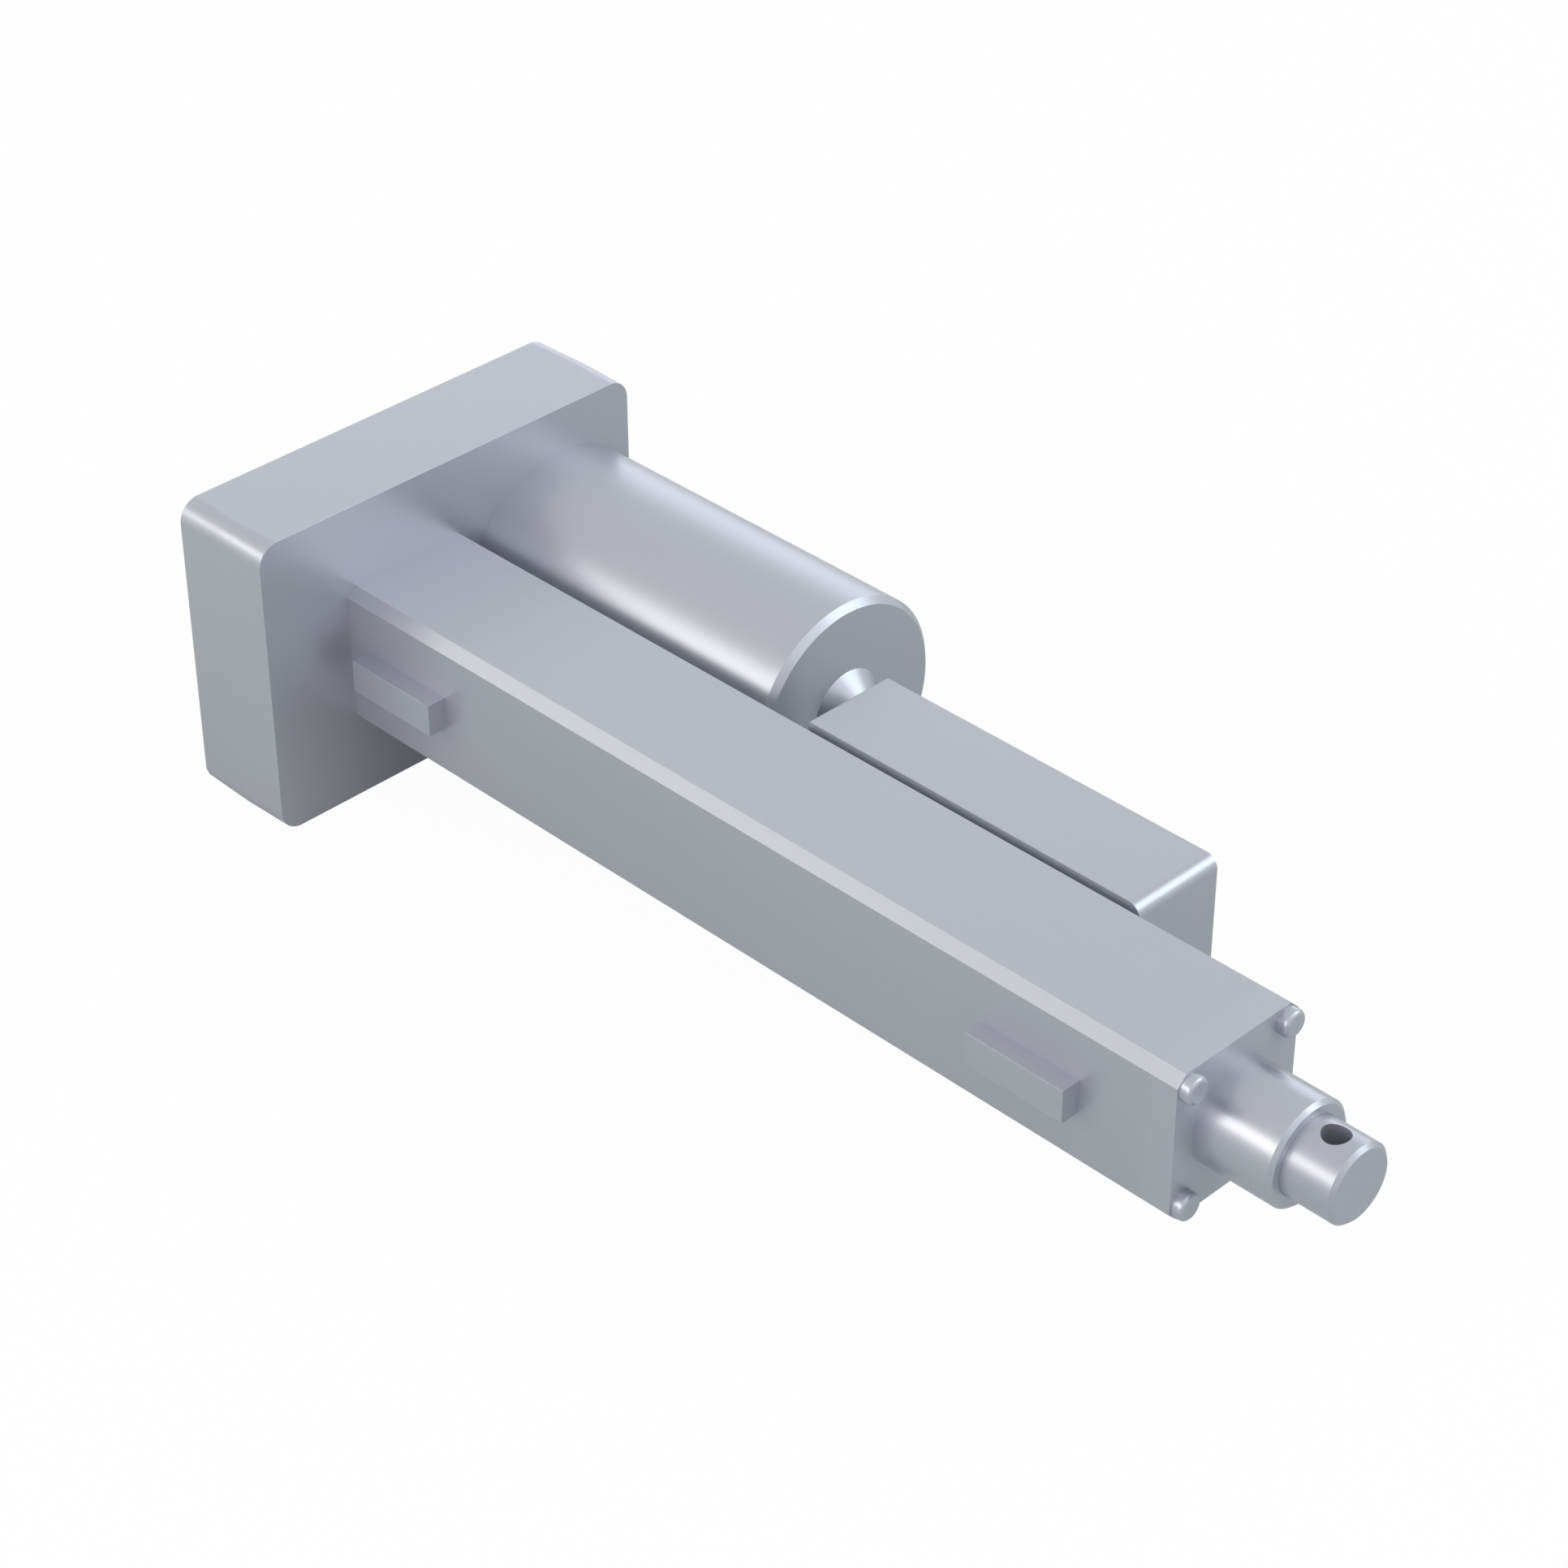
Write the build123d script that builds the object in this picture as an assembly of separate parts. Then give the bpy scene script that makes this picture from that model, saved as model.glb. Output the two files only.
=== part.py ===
from build123d import *
import math
import os

# Electric linear actuator, fully retracted. Millimetres.
# The origin is the centre of the rear pin hole. +X runs along the rod to its outer end,
# +Y points from the rod to the motor, and +Z is up.

# Running and seating clearances, on the radius or on one side
running_gap = 0.05
seat_gap = 0.10
free_gap = 0.40

# Square tube
tube_width = 40.0
tube_height = 40.4
tube_length = 265.1
tube_edge_chamfer = 2.7
tube_bore_diameter = 30.0
key_groove_width = 5.0
key_groove_depth = 1.5
port_inset_y = 3.95
port_inset_z = 4.05

# Small screws, by thread size
m3_thread = 3.0
m3_head = 5.5
m4_thread = 4.0
m4_clear = 4.5
m4_head = 7.0
m4_head_height = 2.8
m5_thread = 5.0
m5_clear = 5.5
m5_head = 8.5
m5_head_height = 5.0
socket_share = 0.5

# Gear case
case_beside_tube = 26.1
case_beyond_motor = 25.4
case_above_tube = 22.6
case_below_tube = 21.8
case_wall = 3.0
case_front_wall = 4.0
case_face_corner = 6.0
case_parting_corner = 5.2
case_cavity_corner = 3.0
case_boss_diameter = 10.0
case_screw_inset = 8.5
case_mid_screw_y = 22.0
case_screw_length = 22.0
case_seal_section = 1.2
tube_screw_length = 14.0
hub_length = 10.0
hub_lip = 2.0
hub_lip_bore = 21.0

# Rear clevis
pin_hole_diameter = 6.8
rear_pin_reach = 20.5
tang_width = 19.0
tang_height = 16.0
tang_edge_chamfer = 1.0
clevis_flange_size = 46.0
clevis_flange_thickness = 10.0
clevis_flange_corner = 7.0
clevis_bolt_spacing = 35.0
clevis_spigot_diameter = 32.0
clevis_spigot_reach = 2.0
lock_nut_pocket_diameter = 18.0

# Lead screw and what turns with it
screw_diameter = 12.0
screw_thread_lead = 4.0
screw_collar_diameter = 15.0
screw_collar_length = 3.0
rear_journal_diameter = 10.0
tip_journal_diameter = 8.0
tip_guide_length = 8.0
tip_end_gap = 5.0
front_bearing_outer = 24.0
front_bearing_width = 6.0
rear_bearing_outer = 26.0
rear_bearing_width = 8.0
bearing_balls = 7
bearing_ball_share = 0.3
bearing_race_share = 0.55
gear_spacer_diameter = 16.0
lock_nut_flats = 15.0
lock_nut_thickness = 4.0
lock_nut_end_room = 0.6
key_width = 4.0
key_height = 4.0

# Gear train
gear_module = 1.0
pressure_angle = 20.0
backlash = 0.16
root_depth_factor = 1.25
flank_steps = 4
idler_small_teeth = 14
idler_large_teeth = 32
pinion_teeth = 12
fine_gear_width = 6.0
coarse_gear_width = 9.0
gear_side_gap = 1.0
fine_gear_front_gap = 1.7
screw_gear_hub_diameter = 18.0
screw_gear_hub_length = 1.9
idler_pin_diameter = 6.0
idler_pin_seat = 1.8
idler_boss_diameter = 14.0
motor_rise = 0.8
motor_tube_gap = 1.0

# Rod, nut and magnet
stroke_end_room = 1.1
rod_diameter = 20.0
rod_bore_diameter = 14.0
rod_reach = 13.8
rod_end_chamfer = 1.0
rod_solid_end = 17.5
rod_pin_inset = 7.4
nut_start_gap = 2.0
magnet_width = 5.0
magnet_bore_diameter = 19.0
magnet_diameter = 27.6
nut_flange_diameter = 29.2
nut_flange_width = 11.0
nut_socket_diameter = 25.0
nut_socket_depth = 12.0
nut_web = 2.0
nut_key_width = 4.4
nut_key_rise = 1.0
grub_screw_inset = 5.0
grub_screw_end_gap = 1.0

# Front cap
cap_thickness = 8.0
cap_spigot = 5.0
collar_diameter = 26.6
collar_length = 20.9
collar_chamfer = 1.0
collar_lip_width = 1.4
collar_lip_gap = 0.3
bush_wall = 1.6
wiper_width = 4.0
wiper_wall = 2.0
wiper_lip_width = 1.0
wiper_lip_relief = 0.5
bumper_width = 2.0
front_head_diameter = 7.0
front_head_height = 2.9
front_head_rounding = 1.2
front_screw_length = 18.0

# Motor, lengths from the face of the gear case
motor_diameter = 59.6
motor_length = 106.0
motor_end_chamfer = 1.7
motor_wall = 2.0
motor_end_wall = 4.0
motor_boss_base = 22.0
motor_boss_height = 4.5
motor_pilot_diameter = 22.0
motor_end_plate = 8.0
motor_shaft_diameter = 6.0
motor_rear_journal = 5.0
motor_front_bearing_outer = 16.0
motor_front_bearing_width = 5.0
motor_pilot_lip = 3.0
motor_rear_bush_outer = 11.0
motor_rear_bush_length = 5.0
motor_screw_circle = 32.0
motor_screw_length = 10.0
magnet_thickness = 5.2
magnet_length = 56.0
magnet_arc = 72.0
magnet_count = 4
magnet_start_angle = 45.0
air_gap = 0.8
armature_start = 32.0
armature_length = 52.0
armature_slots = 12
armature_slot_width = 3.2
armature_slot_depth = 9.0
winding_overhang = 7.0
winding_cover = 1.5
commutator_start = 13.0
commutator_diameter = 18.0
commutator_length = 11.0
commutator_slit = 0.6
commutator_slit_depth = 0.8
brush_card_thickness = 3.0
brush_card_gap = 2.0
brush_width = 5.0
brush_length = 7.0
brush_height = 9.0
brush_face_rise = 1.0
brush_box_wall = 1.5
brush_box_gap = 1.0
brush_spring_diameter = 4.0
brush_spring_length = 4.0

# Side box, which holds the motor control
box_start = 123.1
box_length = 104.6
box_width = 26.7
box_wall = 2.0
box_front_round = 3.5
box_corner_round = 0.8
lid_thickness = 2.0
lid_post_diameter = 6.0
lid_post_inset = 5.5
lid_screw_length = 9.0
lid_screw_slot = 0.8
box_screw_inset = 24.0
box_screw_length = 6.0
board_thickness = 1.6
board_standoff = 4.0
board_margin = 1.5
board_post_inset = 14.3
relay_size = 15.0
relay_length = 19.0
relay_places = (-26.6, -3.8)
terminal_height = 10.0
terminal_length = 24.0
terminal_depth = 8.0
terminal_place = 30.8
capacitor_diameter = 10.0
capacitor_length = 14.0
capacitor_place = 20.9

# Position sensors on the side of the tube
sensor_thickness = 5.4
sensor_height = 9.0
sensor_length = 29.1
rear_sensor_inset = 7.0
front_sensor_inset = 18.9

# Places along X, from the rear pin hole to the rod end
x_case_rear = rear_pin_reach
x_coarse_gears = x_case_rear + case_wall + clevis_spigot_reach + screw_gear_hub_length
x_fine_gears = x_coarse_gears + coarse_gear_width + gear_side_gap
x_case_front = x_fine_gears + fine_gear_width + fine_gear_front_gap + m4_head_height + case_front_wall
x_parting = (x_case_rear + x_case_front) / 2
x_clevis_screw_end = x_coarse_gears - gear_side_gap
x_tube_front = x_case_front + tube_length
x_cap_front = x_tube_front + cap_thickness
x_collar_front = x_cap_front + collar_length
x_rod_end = x_collar_front + rod_reach
x_front_bearing = x_case_front + hub_length - hub_lip - front_bearing_width
x_rear_bearing = x_case_rear + case_wall + clevis_spigot_reach - rear_bearing_width
x_nut = x_case_front + hub_length + nut_start_gap
x_nut_flange = x_nut + magnet_width
x_nut_socket = x_nut_flange + nut_flange_width
x_rod_start = x_nut_socket + nut_web
x_nut_front = x_rod_start + nut_socket_depth
x_screw_tip = x_rod_end - rod_solid_end - tip_end_gap
x_bumper = x_tube_front - cap_spigot - bumper_width
x_rear_sensor = x_case_front + rear_sensor_inset
x_front_sensor = x_tube_front - front_sensor_inset - sensor_length
stroke = x_bumper - x_nut_front - stroke_end_room

# Places across the axis
port_y = tube_width / 2 - port_inset_y
port_z = tube_height / 2 - port_inset_z
motor_y = tube_width / 2 + motor_tube_gap + motor_diameter / 2
case_left = tube_width / 2 + case_beside_tube
case_right = motor_y + case_beyond_motor
case_top = tube_height / 2 + case_above_tube
case_bottom = tube_height / 2 + case_below_tube

# Gear train: the large gear has the fewest teeth that let the idler reach the motor
motor_distance = math.hypot(motor_y, motor_rise)
idler_motor_distance = gear_module * (idler_large_teeth + pinion_teeth) / 2
screw_gear_teeth = math.ceil(2 * (motor_distance - idler_motor_distance) / gear_module) - idler_small_teeth
screw_idler_distance = gear_module * (screw_gear_teeth + idler_small_teeth) / 2
motor_reach = motor_distance ** 2 + screw_idler_distance ** 2 - idler_motor_distance ** 2
idler_along = motor_reach / (2 * motor_distance)
idler_turn = math.acos(idler_along / screw_idler_distance) + math.atan2(motor_rise, motor_y)
idler_y = screw_idler_distance * math.cos(idler_turn)
idler_rise = screw_idler_distance * math.sin(idler_turn)
idler_angle = math.degrees(idler_turn)
motor_angle = math.degrees(math.atan2(motor_rise - idler_rise, motor_y - idler_y))
box_height = tube_height


def prism(outline, x_start, x_end):
    """Solid between two X places, from an outline drawn in Y and Z."""
    return extrude(Plane.YZ.offset(x_start) * outline, x_end - x_start)


def rod_of(diameter, x_start, x_end, y=0.0, z=0.0):
    """Round bar along X."""
    return prism(Pos(y, z) * Circle(diameter / 2), x_start, x_end)


def ring_of(outer, inner, x_start, x_end, y=0.0, z=0.0):
    """Round sleeve along X."""
    return prism(Pos(y, z) * (Circle(outer / 2) - Circle(inner / 2)), x_start, x_end)


def turned(points, y=0.0, z=0.0):
    """Solid of revolution about a line along X, from (x, radius) points."""
    face = make_face(Plane.XY * Polyline(*points, close=True))
    return Pos(0, y, z) * revolve(face, Axis.X)


def socket_screw(thread, length, head, head_height, socket_depth):
    """Socket head screw along +X, with the underside of its head at the origin."""
    screw = rod_of(head, -head_height, 0) + rod_of(thread, 0, length)
    socket = RegularPolygon(head * socket_share / 2, 6)
    return screw - prism(socket, -head_height, -head_height + socket_depth)


def copies(shape, places):
    """One copy of a shape at each (x, y, z), kept as separate solids."""
    return Compound(children=[Pos(*place) * shape for place in places])


def gear_outline(teeth, start_angle):
    """Involute spur gear outline, with one tooth centred on start_angle in degrees."""
    pitch_radius = gear_module * teeth / 2
    base_radius = pitch_radius * math.cos(math.radians(pressure_angle))
    tip_radius = pitch_radius + gear_module
    root_radius = pitch_radius - root_depth_factor * gear_module
    flank_start = max(base_radius, root_radius)
    half_tooth = math.pi / (2 * teeth) - backlash / (4 * pitch_radius)
    involute_at_pitch = math.tan(math.radians(pressure_angle)) - math.radians(pressure_angle)
    flank = []
    for step in range(flank_steps + 1):
        radius = flank_start + (tip_radius - flank_start) * step / flank_steps
        roll = math.acos(base_radius / radius)
        flank.append((radius, half_tooth + involute_at_pitch - (math.tan(roll) - roll)))
    if root_radius < flank_start:
        flank.insert(0, (root_radius, flank[0][1]))
    outline = []
    for tooth in range(teeth):
        centre = math.radians(start_angle) + 2 * math.pi * tooth / teeth
        for radius, half in flank:
            outline.append((radius * math.cos(centre - half), radius * math.sin(centre - half)))
        for radius, half in reversed(flank):
            outline.append((radius * math.cos(centre + half), radius * math.sin(centre + half)))
    return make_face(Polyline(*outline, close=True))


def tube_outline():
    """Square section with its four long edges chamfered."""
    square = Rectangle(tube_width, tube_height)
    return chamfer(square.vertices(), tube_edge_chamfer)


def port_places():
    """Y and Z of the four screw ports in the corners of the tube."""
    return [(side * port_y, level * port_z) for side in (-1, 1) for level in (-1, 1)]


def make_tube():
    """Extruded tube: round bore, two key grooves and four screw ports."""
    section = tube_outline() - Circle(tube_bore_diameter / 2)
    section -= Rectangle(key_groove_width, tube_bore_diameter + 2 * key_groove_depth)
    for y, z in port_places():
        section -= Pos(y, z) * Circle(m4_thread / 2)
    tube = prism(section, x_case_front, x_tube_front)
    for x in box_screw_places():
        tube -= Pos(x, tube_width / 2, 0) * Rot(90, 0, 0) * Cylinder(m4_thread / 2, 2 * box_thread_depth())
    return tube


def box_thread_depth():
    """How far the box screws reach into the wall of the tube."""
    return box_screw_length - box_wall


def box_screw_places():
    """X of the two screws that hold the box to the tube."""
    x_box = x_case_front + box_start
    return [x_box + box_screw_inset, x_box + box_length - box_screw_inset]


def case_block(x_start, x_end, corner_start, corner_end):
    """Outer form of one half of the case, its corners easing from one radius to the other."""
    width = case_left + case_right
    height = case_top + case_bottom
    centre = Pos((case_right - case_left) / 2, (case_top - case_bottom) / 2)
    start = Plane.YZ.offset(x_start) * centre * RectangleRounded(width, height, corner_start)
    end = Plane.YZ.offset(x_end) * centre * RectangleRounded(width, height, corner_end)
    return loft([start, end])


def case_inset_outline(inset, corner):
    """Rounded rectangle inside the outline of the case by the given inset."""
    centre = Pos((case_right - case_left) / 2, (case_top - case_bottom) / 2)
    width = case_left + case_right - 2 * inset
    height = case_top + case_bottom - 2 * inset
    return centre * RectangleRounded(width, height, corner)


def case_screw_places():
    """Y and Z of the six screws that hold the two halves of the case together."""
    low = case_screw_inset - case_bottom
    high = case_top - case_screw_inset
    columns = (case_screw_inset - case_left, case_mid_screw_y, case_right - case_screw_inset)
    return [(y, z) for y in columns for z in (low, high)]


def case_bosses(x_start, x_end):
    """Posts around the case screws, joined to the nearest wall."""
    posts = None
    for y, z in case_screw_places():
        wall_z = case_top - case_wall / 2 if z > 0 else case_wall / 2 - case_bottom
        post = Pos(y, z) * Circle(case_boss_diameter / 2)
        post += Pos(y, (z + wall_z) / 2) * Rectangle(case_boss_diameter, abs(wall_z - z))
        post = prism(post, x_start, x_end)
        posts = post if posts is None else posts + post
    return posts


def case_seal_outline():
    """Closed ring that runs in the middle of the case wall."""
    middle = case_wall / 2
    half = case_seal_section / 2
    corner = case_parting_corner - middle
    return case_inset_outline(middle - half, corner + half) - case_inset_outline(middle + half, corner - half)


def make_case_front():
    """Front half of the gear case, with the hub for the tube and the pilot hole for the motor."""
    inner_face = x_case_front - case_front_wall
    case = case_block(x_parting, x_case_front, case_parting_corner, case_face_corner)
    case -= prism(case_inset_outline(case_wall, case_cavity_corner), x_parting, inner_face)
    case += case_bosses(x_parting, inner_face)
    x_boss = x_fine_gears + fine_gear_width + free_gap
    case += rod_of(idler_boss_diameter, x_boss, inner_face, idler_y, idler_rise)
    case += rod_of(tube_bore_diameter - 2 * seat_gap, inner_face, x_case_front + hub_length)
    case -= rod_of(front_bearing_outer, inner_face, x_case_front + hub_length - hub_lip)
    case -= rod_of(hub_lip_bore, inner_face, x_case_front + hub_length)
    case -= rod_of(motor_pilot_diameter + 2 * seat_gap, inner_face, x_case_front, motor_y, motor_rise)
    case -= rod_of(idler_pin_diameter, x_parting, inner_face + idler_pin_seat, idler_y, idler_rise)
    for y, z in port_places():
        case -= rod_of(m4_clear, inner_face, x_case_front, y, z)
    for side in (-1, 1):
        z = motor_rise + side * motor_screw_circle / 2
        case -= rod_of(m4_clear, inner_face, x_case_front, motor_y, z)
    for y, z in case_screw_places():
        case -= rod_of(m5_thread, x_parting, x_case_rear + m5_head_height + case_screw_length, y, z)
    return case - prism(case_seal_outline(), x_parting, x_parting + case_seal_section)


def make_case_rear():
    """Rear half of the gear case, with the seat of the clevis and sunk screw heads."""
    inner_face = x_case_rear + case_wall
    case = case_block(x_case_rear, x_parting, case_face_corner, case_parting_corner)
    case -= prism(case_inset_outline(case_wall, case_cavity_corner), inner_face, x_parting)
    case += case_bosses(inner_face, x_parting)
    case += rod_of(idler_boss_diameter, inner_face, x_coarse_gears - free_gap, idler_y, idler_rise)
    case += clevis_pads(inner_face)
    case -= rod_of(clevis_spigot_diameter + 2 * seat_gap, x_case_rear, x_parting)
    case -= rod_of(idler_pin_diameter, inner_face - idler_pin_seat, x_parting, idler_y, idler_rise)
    for y, z in case_screw_places():
        case -= rod_of(m5_clear, x_case_rear, x_parting, y, z)
        case -= rod_of(m5_head + 2 * free_gap, x_case_rear, x_case_rear + m5_head_height, y, z)
    for y, z in clevis_screw_places():
        case -= rod_of(m5_thread, x_case_rear, x_clevis_screw_end, y, z)
    return case


def clevis_pads(inner_face):
    """Thickened corners behind the rear wall, which take the clevis screws."""
    pads = None
    for y, z in clevis_screw_places():
        pad = rod_of(m5_thread + 2 * case_wall, inner_face, x_clevis_screw_end, y, z)
        pads = pad if pads is None else pads + pad
    return pads


def make_case_seal():
    """Rubber ring pressed between the two halves of the case."""
    return prism(case_seal_outline(), x_parting, x_parting + case_seal_section)


def make_case_screws():
    """Six socket screws through the rear half into the front half."""
    screw = socket_screw(m5_thread, case_screw_length, m5_head, m5_head_height, m5_head_height / 2)
    places = [(x_case_rear + m5_head_height, y, z) for y, z in case_screw_places()]
    return copies(screw, places)


def clevis_screw_places():
    """Y and Z of the four screws of the rear clevis."""
    reach = clevis_bolt_spacing / 2
    return [(side * reach, level * reach) for side in (-1, 1) for level in (-1, 1)]


def make_rear_clevis():
    """Cast clevis: rounded tang with the pin hole, square flange, and spigot with the bearing seat."""
    x_flange = x_case_rear - clevis_flange_thickness
    plan = Rectangle(x_flange, tang_width, align=(Align.MIN, Align.CENTER)) + Circle(tang_width / 2)
    tang = extrude(Plane.XY.offset(-tang_height / 2) * plan, tang_height)
    flat_edges = tang.edges().filter_by_position(Axis.Z, -tang_height / 2, -tang_height / 2)
    flat_edges += tang.edges().filter_by_position(Axis.Z, tang_height / 2, tang_height / 2)
    outer_edges = [edge for edge in flat_edges if edge.center().X < x_flange - tang_edge_chamfer]
    tang = chamfer(outer_edges, tang_edge_chamfer)
    flange = prism(
        RectangleRounded(clevis_flange_size, clevis_flange_size, clevis_flange_corner), x_flange, x_case_rear
    )
    clevis = tang + flange + rod_of(clevis_spigot_diameter, x_case_rear, x_rear_bearing + rear_bearing_width)
    clevis -= rod_of(rear_bearing_outer, x_rear_bearing, x_rear_bearing + rear_bearing_width)
    clevis -= rod_of(lock_nut_pocket_diameter, x_lock_nut() - lock_nut_end_room, x_rear_bearing)
    clevis -= Cylinder(pin_hole_diameter / 2, 2 * tang_height)
    for y, z in clevis_screw_places():
        clevis -= rod_of(m5_clear, x_flange, x_case_rear, y, z)
        clevis -= rod_of(m5_head + 2 * free_gap, x_flange, x_flange + m5_head_height, y, z)
    return clevis


def make_clevis_screws():
    """Four socket screws through the flange of the clevis."""
    x_seat = x_case_rear - clevis_flange_thickness + m5_head_height
    screw = socket_screw(m5_thread, x_clevis_screw_end - x_seat, m5_head, m5_head_height, m5_head_height / 2)
    return copies(screw, [(x_seat, y, z) for y, z in clevis_screw_places()])


def make_tube_screws():
    """Four screws from inside the case into the ports of the tube."""
    screw = socket_screw(m4_thread, tube_screw_length, m4_head, m4_head_height, m4_head_height / 2)
    return copies(screw, [(x_case_front - case_front_wall, y, z) for y, z in port_places()])


def x_lock_nut():
    """Rear face of the lock nut behind the rear bearing."""
    return x_rear_bearing - lock_nut_thickness


def ball_size(inner, outer):
    """Ball diameter for a bearing with the given bore and outer diameter."""
    return bearing_ball_share * (outer - inner)


def make_bearing_ring(inner, outer, width, x_start, is_outer, y=0.0, z=0.0):
    """Outer or inner ring of a ball bearing, with its ball track."""
    ball = ball_size(inner, outer)
    pitch = (inner + outer) / 2
    if is_outer:
        ring = ring_of(outer, pitch + bearing_race_share * ball, x_start, x_start + width, y, z)
    else:
        ring = ring_of(pitch - bearing_race_share * ball, inner, x_start, x_start + width, y, z)
    track = Pos(x_start + width / 2, y, z) * Rot(0, 90, 0) * Torus(pitch / 2, ball / 2 + running_gap)
    return ring - track


def make_balls(inner, outer, width, x_start, y=0.0, z=0.0):
    """Balls of a bearing about a line along X."""
    pitch = (inner + outer) / 2
    ball = Sphere(ball_size(inner, outer) / 2)
    places = []
    for number in range(bearing_balls):
        turn = 2 * math.pi * number / bearing_balls
        across = pitch / 2 * math.cos(turn)
        up = pitch / 2 * math.sin(turn)
        places.append((x_start + width / 2, y + across, z + up))
    return copies(ball, places)


def make_lead_screw():
    """Lead screw with its thread drawn as a plain bar, a collar, journals and a keyway."""
    x_journal = x_rear_bearing + rear_bearing_width
    x_collar = x_front_bearing + front_bearing_width
    x_guide = x_screw_tip - tip_guide_length
    screw = rod_of(rear_journal_diameter, x_lock_nut(), x_journal)
    screw += rod_of(screw_diameter, x_journal, x_guide)
    screw += rod_of(screw_collar_diameter, x_collar, x_collar + screw_collar_length)
    screw += rod_of(tip_journal_diameter, x_guide, x_screw_tip)
    return screw - key_shape()


def key_shape():
    """Square key between the lead screw and its gear."""
    outline = Pos(0, screw_diameter / 2) * Rectangle(key_width, key_height)
    return prism(outline, x_coarse_gears, x_coarse_gears + coarse_gear_width)


def make_screw_gear():
    """Large gear keyed to the lead screw, with a hub that bears on the rear bearing."""
    x_end = x_coarse_gears + coarse_gear_width
    gear = prism(gear_outline(screw_gear_teeth, idler_angle), x_coarse_gears, x_end)
    gear += rod_of(screw_gear_hub_diameter, x_rear_bearing + rear_bearing_width, x_coarse_gears)
    gear -= rod_of(screw_diameter, x_rear_bearing + rear_bearing_width, x_end)
    return gear - key_shape()


def make_gear_spacer():
    """Sleeve between the large gear and the front bearing."""
    return ring_of(gear_spacer_diameter, screw_diameter, x_coarse_gears + coarse_gear_width, x_front_bearing)


def make_lock_nut():
    """Hexagon nut that clamps the bearings and the gear on the lead screw."""
    hexagon = RegularPolygon(lock_nut_flats / 2, 6, major_radius=False) - Circle(rear_journal_diameter / 2)
    return prism(hexagon, x_lock_nut(), x_rear_bearing)


def make_tip_guide():
    """Plastic ring on the tip of the lead screw, which steadies it in the bore of the rod."""
    outer = rod_bore_diameter - 2 * running_gap
    return ring_of(outer, tip_journal_diameter, x_screw_tip - tip_guide_length, x_screw_tip)


def make_idler_gear():
    """Two gears in one piece, free to turn on the idler pin."""
    back_angle = idler_angle + 180 + 180 / idler_small_teeth
    small = prism(gear_outline(idler_small_teeth, back_angle), x_coarse_gears, x_fine_gears)
    large = prism(gear_outline(idler_large_teeth, motor_angle), x_fine_gears, x_fine_gears + fine_gear_width)
    gear = Pos(0, idler_y, idler_rise) * (small + large)
    bore = idler_pin_diameter + 2 * running_gap
    return gear - rod_of(bore, x_coarse_gears, x_fine_gears + fine_gear_width, idler_y, idler_rise)


def make_idler_pin():
    """Steel pin held in both halves of the case."""
    x_start = x_case_rear + case_wall - idler_pin_seat
    x_end = x_case_front - case_front_wall + idler_pin_seat
    return rod_of(idler_pin_diameter, x_start, x_end, idler_y, idler_rise)


def make_pinion():
    """Small gear on the motor shaft."""
    back_angle = motor_angle + 180 + 180 / pinion_teeth
    gear = prism(gear_outline(pinion_teeth, back_angle), x_fine_gears, x_fine_gears + fine_gear_width)
    gear -= rod_of(motor_shaft_diameter, x_fine_gears, x_fine_gears + fine_gear_width)
    return Pos(0, motor_y, motor_rise) * gear


def make_nut():
    """Drive nut with a neck for the magnet, a keyed flange and a socket for the rod."""
    nut = turned(
        [
            (x_nut, screw_diameter / 2 + running_gap),
            (x_nut, magnet_bore_diameter / 2),
            (x_nut_flange, magnet_bore_diameter / 2),
            (x_nut_flange, nut_flange_diameter / 2),
            (x_nut_socket, nut_flange_diameter / 2),
            (x_nut_socket, nut_socket_diameter / 2),
            (x_nut_front, nut_socket_diameter / 2),
            (x_nut_front, rod_diameter / 2),
            (x_rod_start, rod_diameter / 2),
            (x_rod_start, screw_diameter / 2 + running_gap),
        ]
    )
    keys = Rectangle(nut_key_width, nut_flange_diameter + 2 * nut_key_rise) - Circle(nut_socket_diameter / 2)
    nut += prism(keys, x_nut_flange, x_nut_socket)
    for screw in grub_screw_shapes():
        nut -= screw
    return nut


def grub_screw_shapes():
    """Two grub screws through the socket of the nut into the wall of the rod."""
    x = x_nut_front - grub_screw_inset
    reach = (nut_socket_diameter - rod_bore_diameter) / 2 - grub_screw_end_gap
    middle = nut_socket_diameter / 2 - reach / 2
    screw = Cylinder(m4_thread / 2, reach)
    return [Pos(x, 0, side * middle) * screw for side in (-1, 1)]


def make_grub_screws():
    """The two grub screws as one group."""
    return Compound(children=grub_screw_shapes())


def make_magnet_ring():
    """Ring magnet on the nut, which the sensors on the tube detect."""
    return ring_of(magnet_diameter, magnet_bore_diameter, x_nut, x_nut_flange)


def make_rod():
    """Hollow rod, closed at its outer end and drilled across for the pin."""
    bore_end = x_rod_end - rod_solid_end
    rod = turned(
        [
            (x_rod_start, rod_bore_diameter / 2),
            (x_rod_start, rod_diameter / 2),
            (x_rod_end - rod_end_chamfer, rod_diameter / 2),
            (x_rod_end, rod_diameter / 2 - rod_end_chamfer),
            (x_rod_end, 0),
            (bore_end, 0),
            (bore_end, rod_bore_diameter / 2),
        ]
    )
    rod -= Pos(x_rod_end - rod_pin_inset, 0, 0) * Cylinder(pin_hole_diameter / 2, 2 * rod_diameter)
    for screw in grub_screw_shapes():
        rod -= screw
    return rod


def x_bush_end():
    """Front end of the guide bush, behind the wiper."""
    return x_collar_front - collar_lip_width - wiper_width


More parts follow.
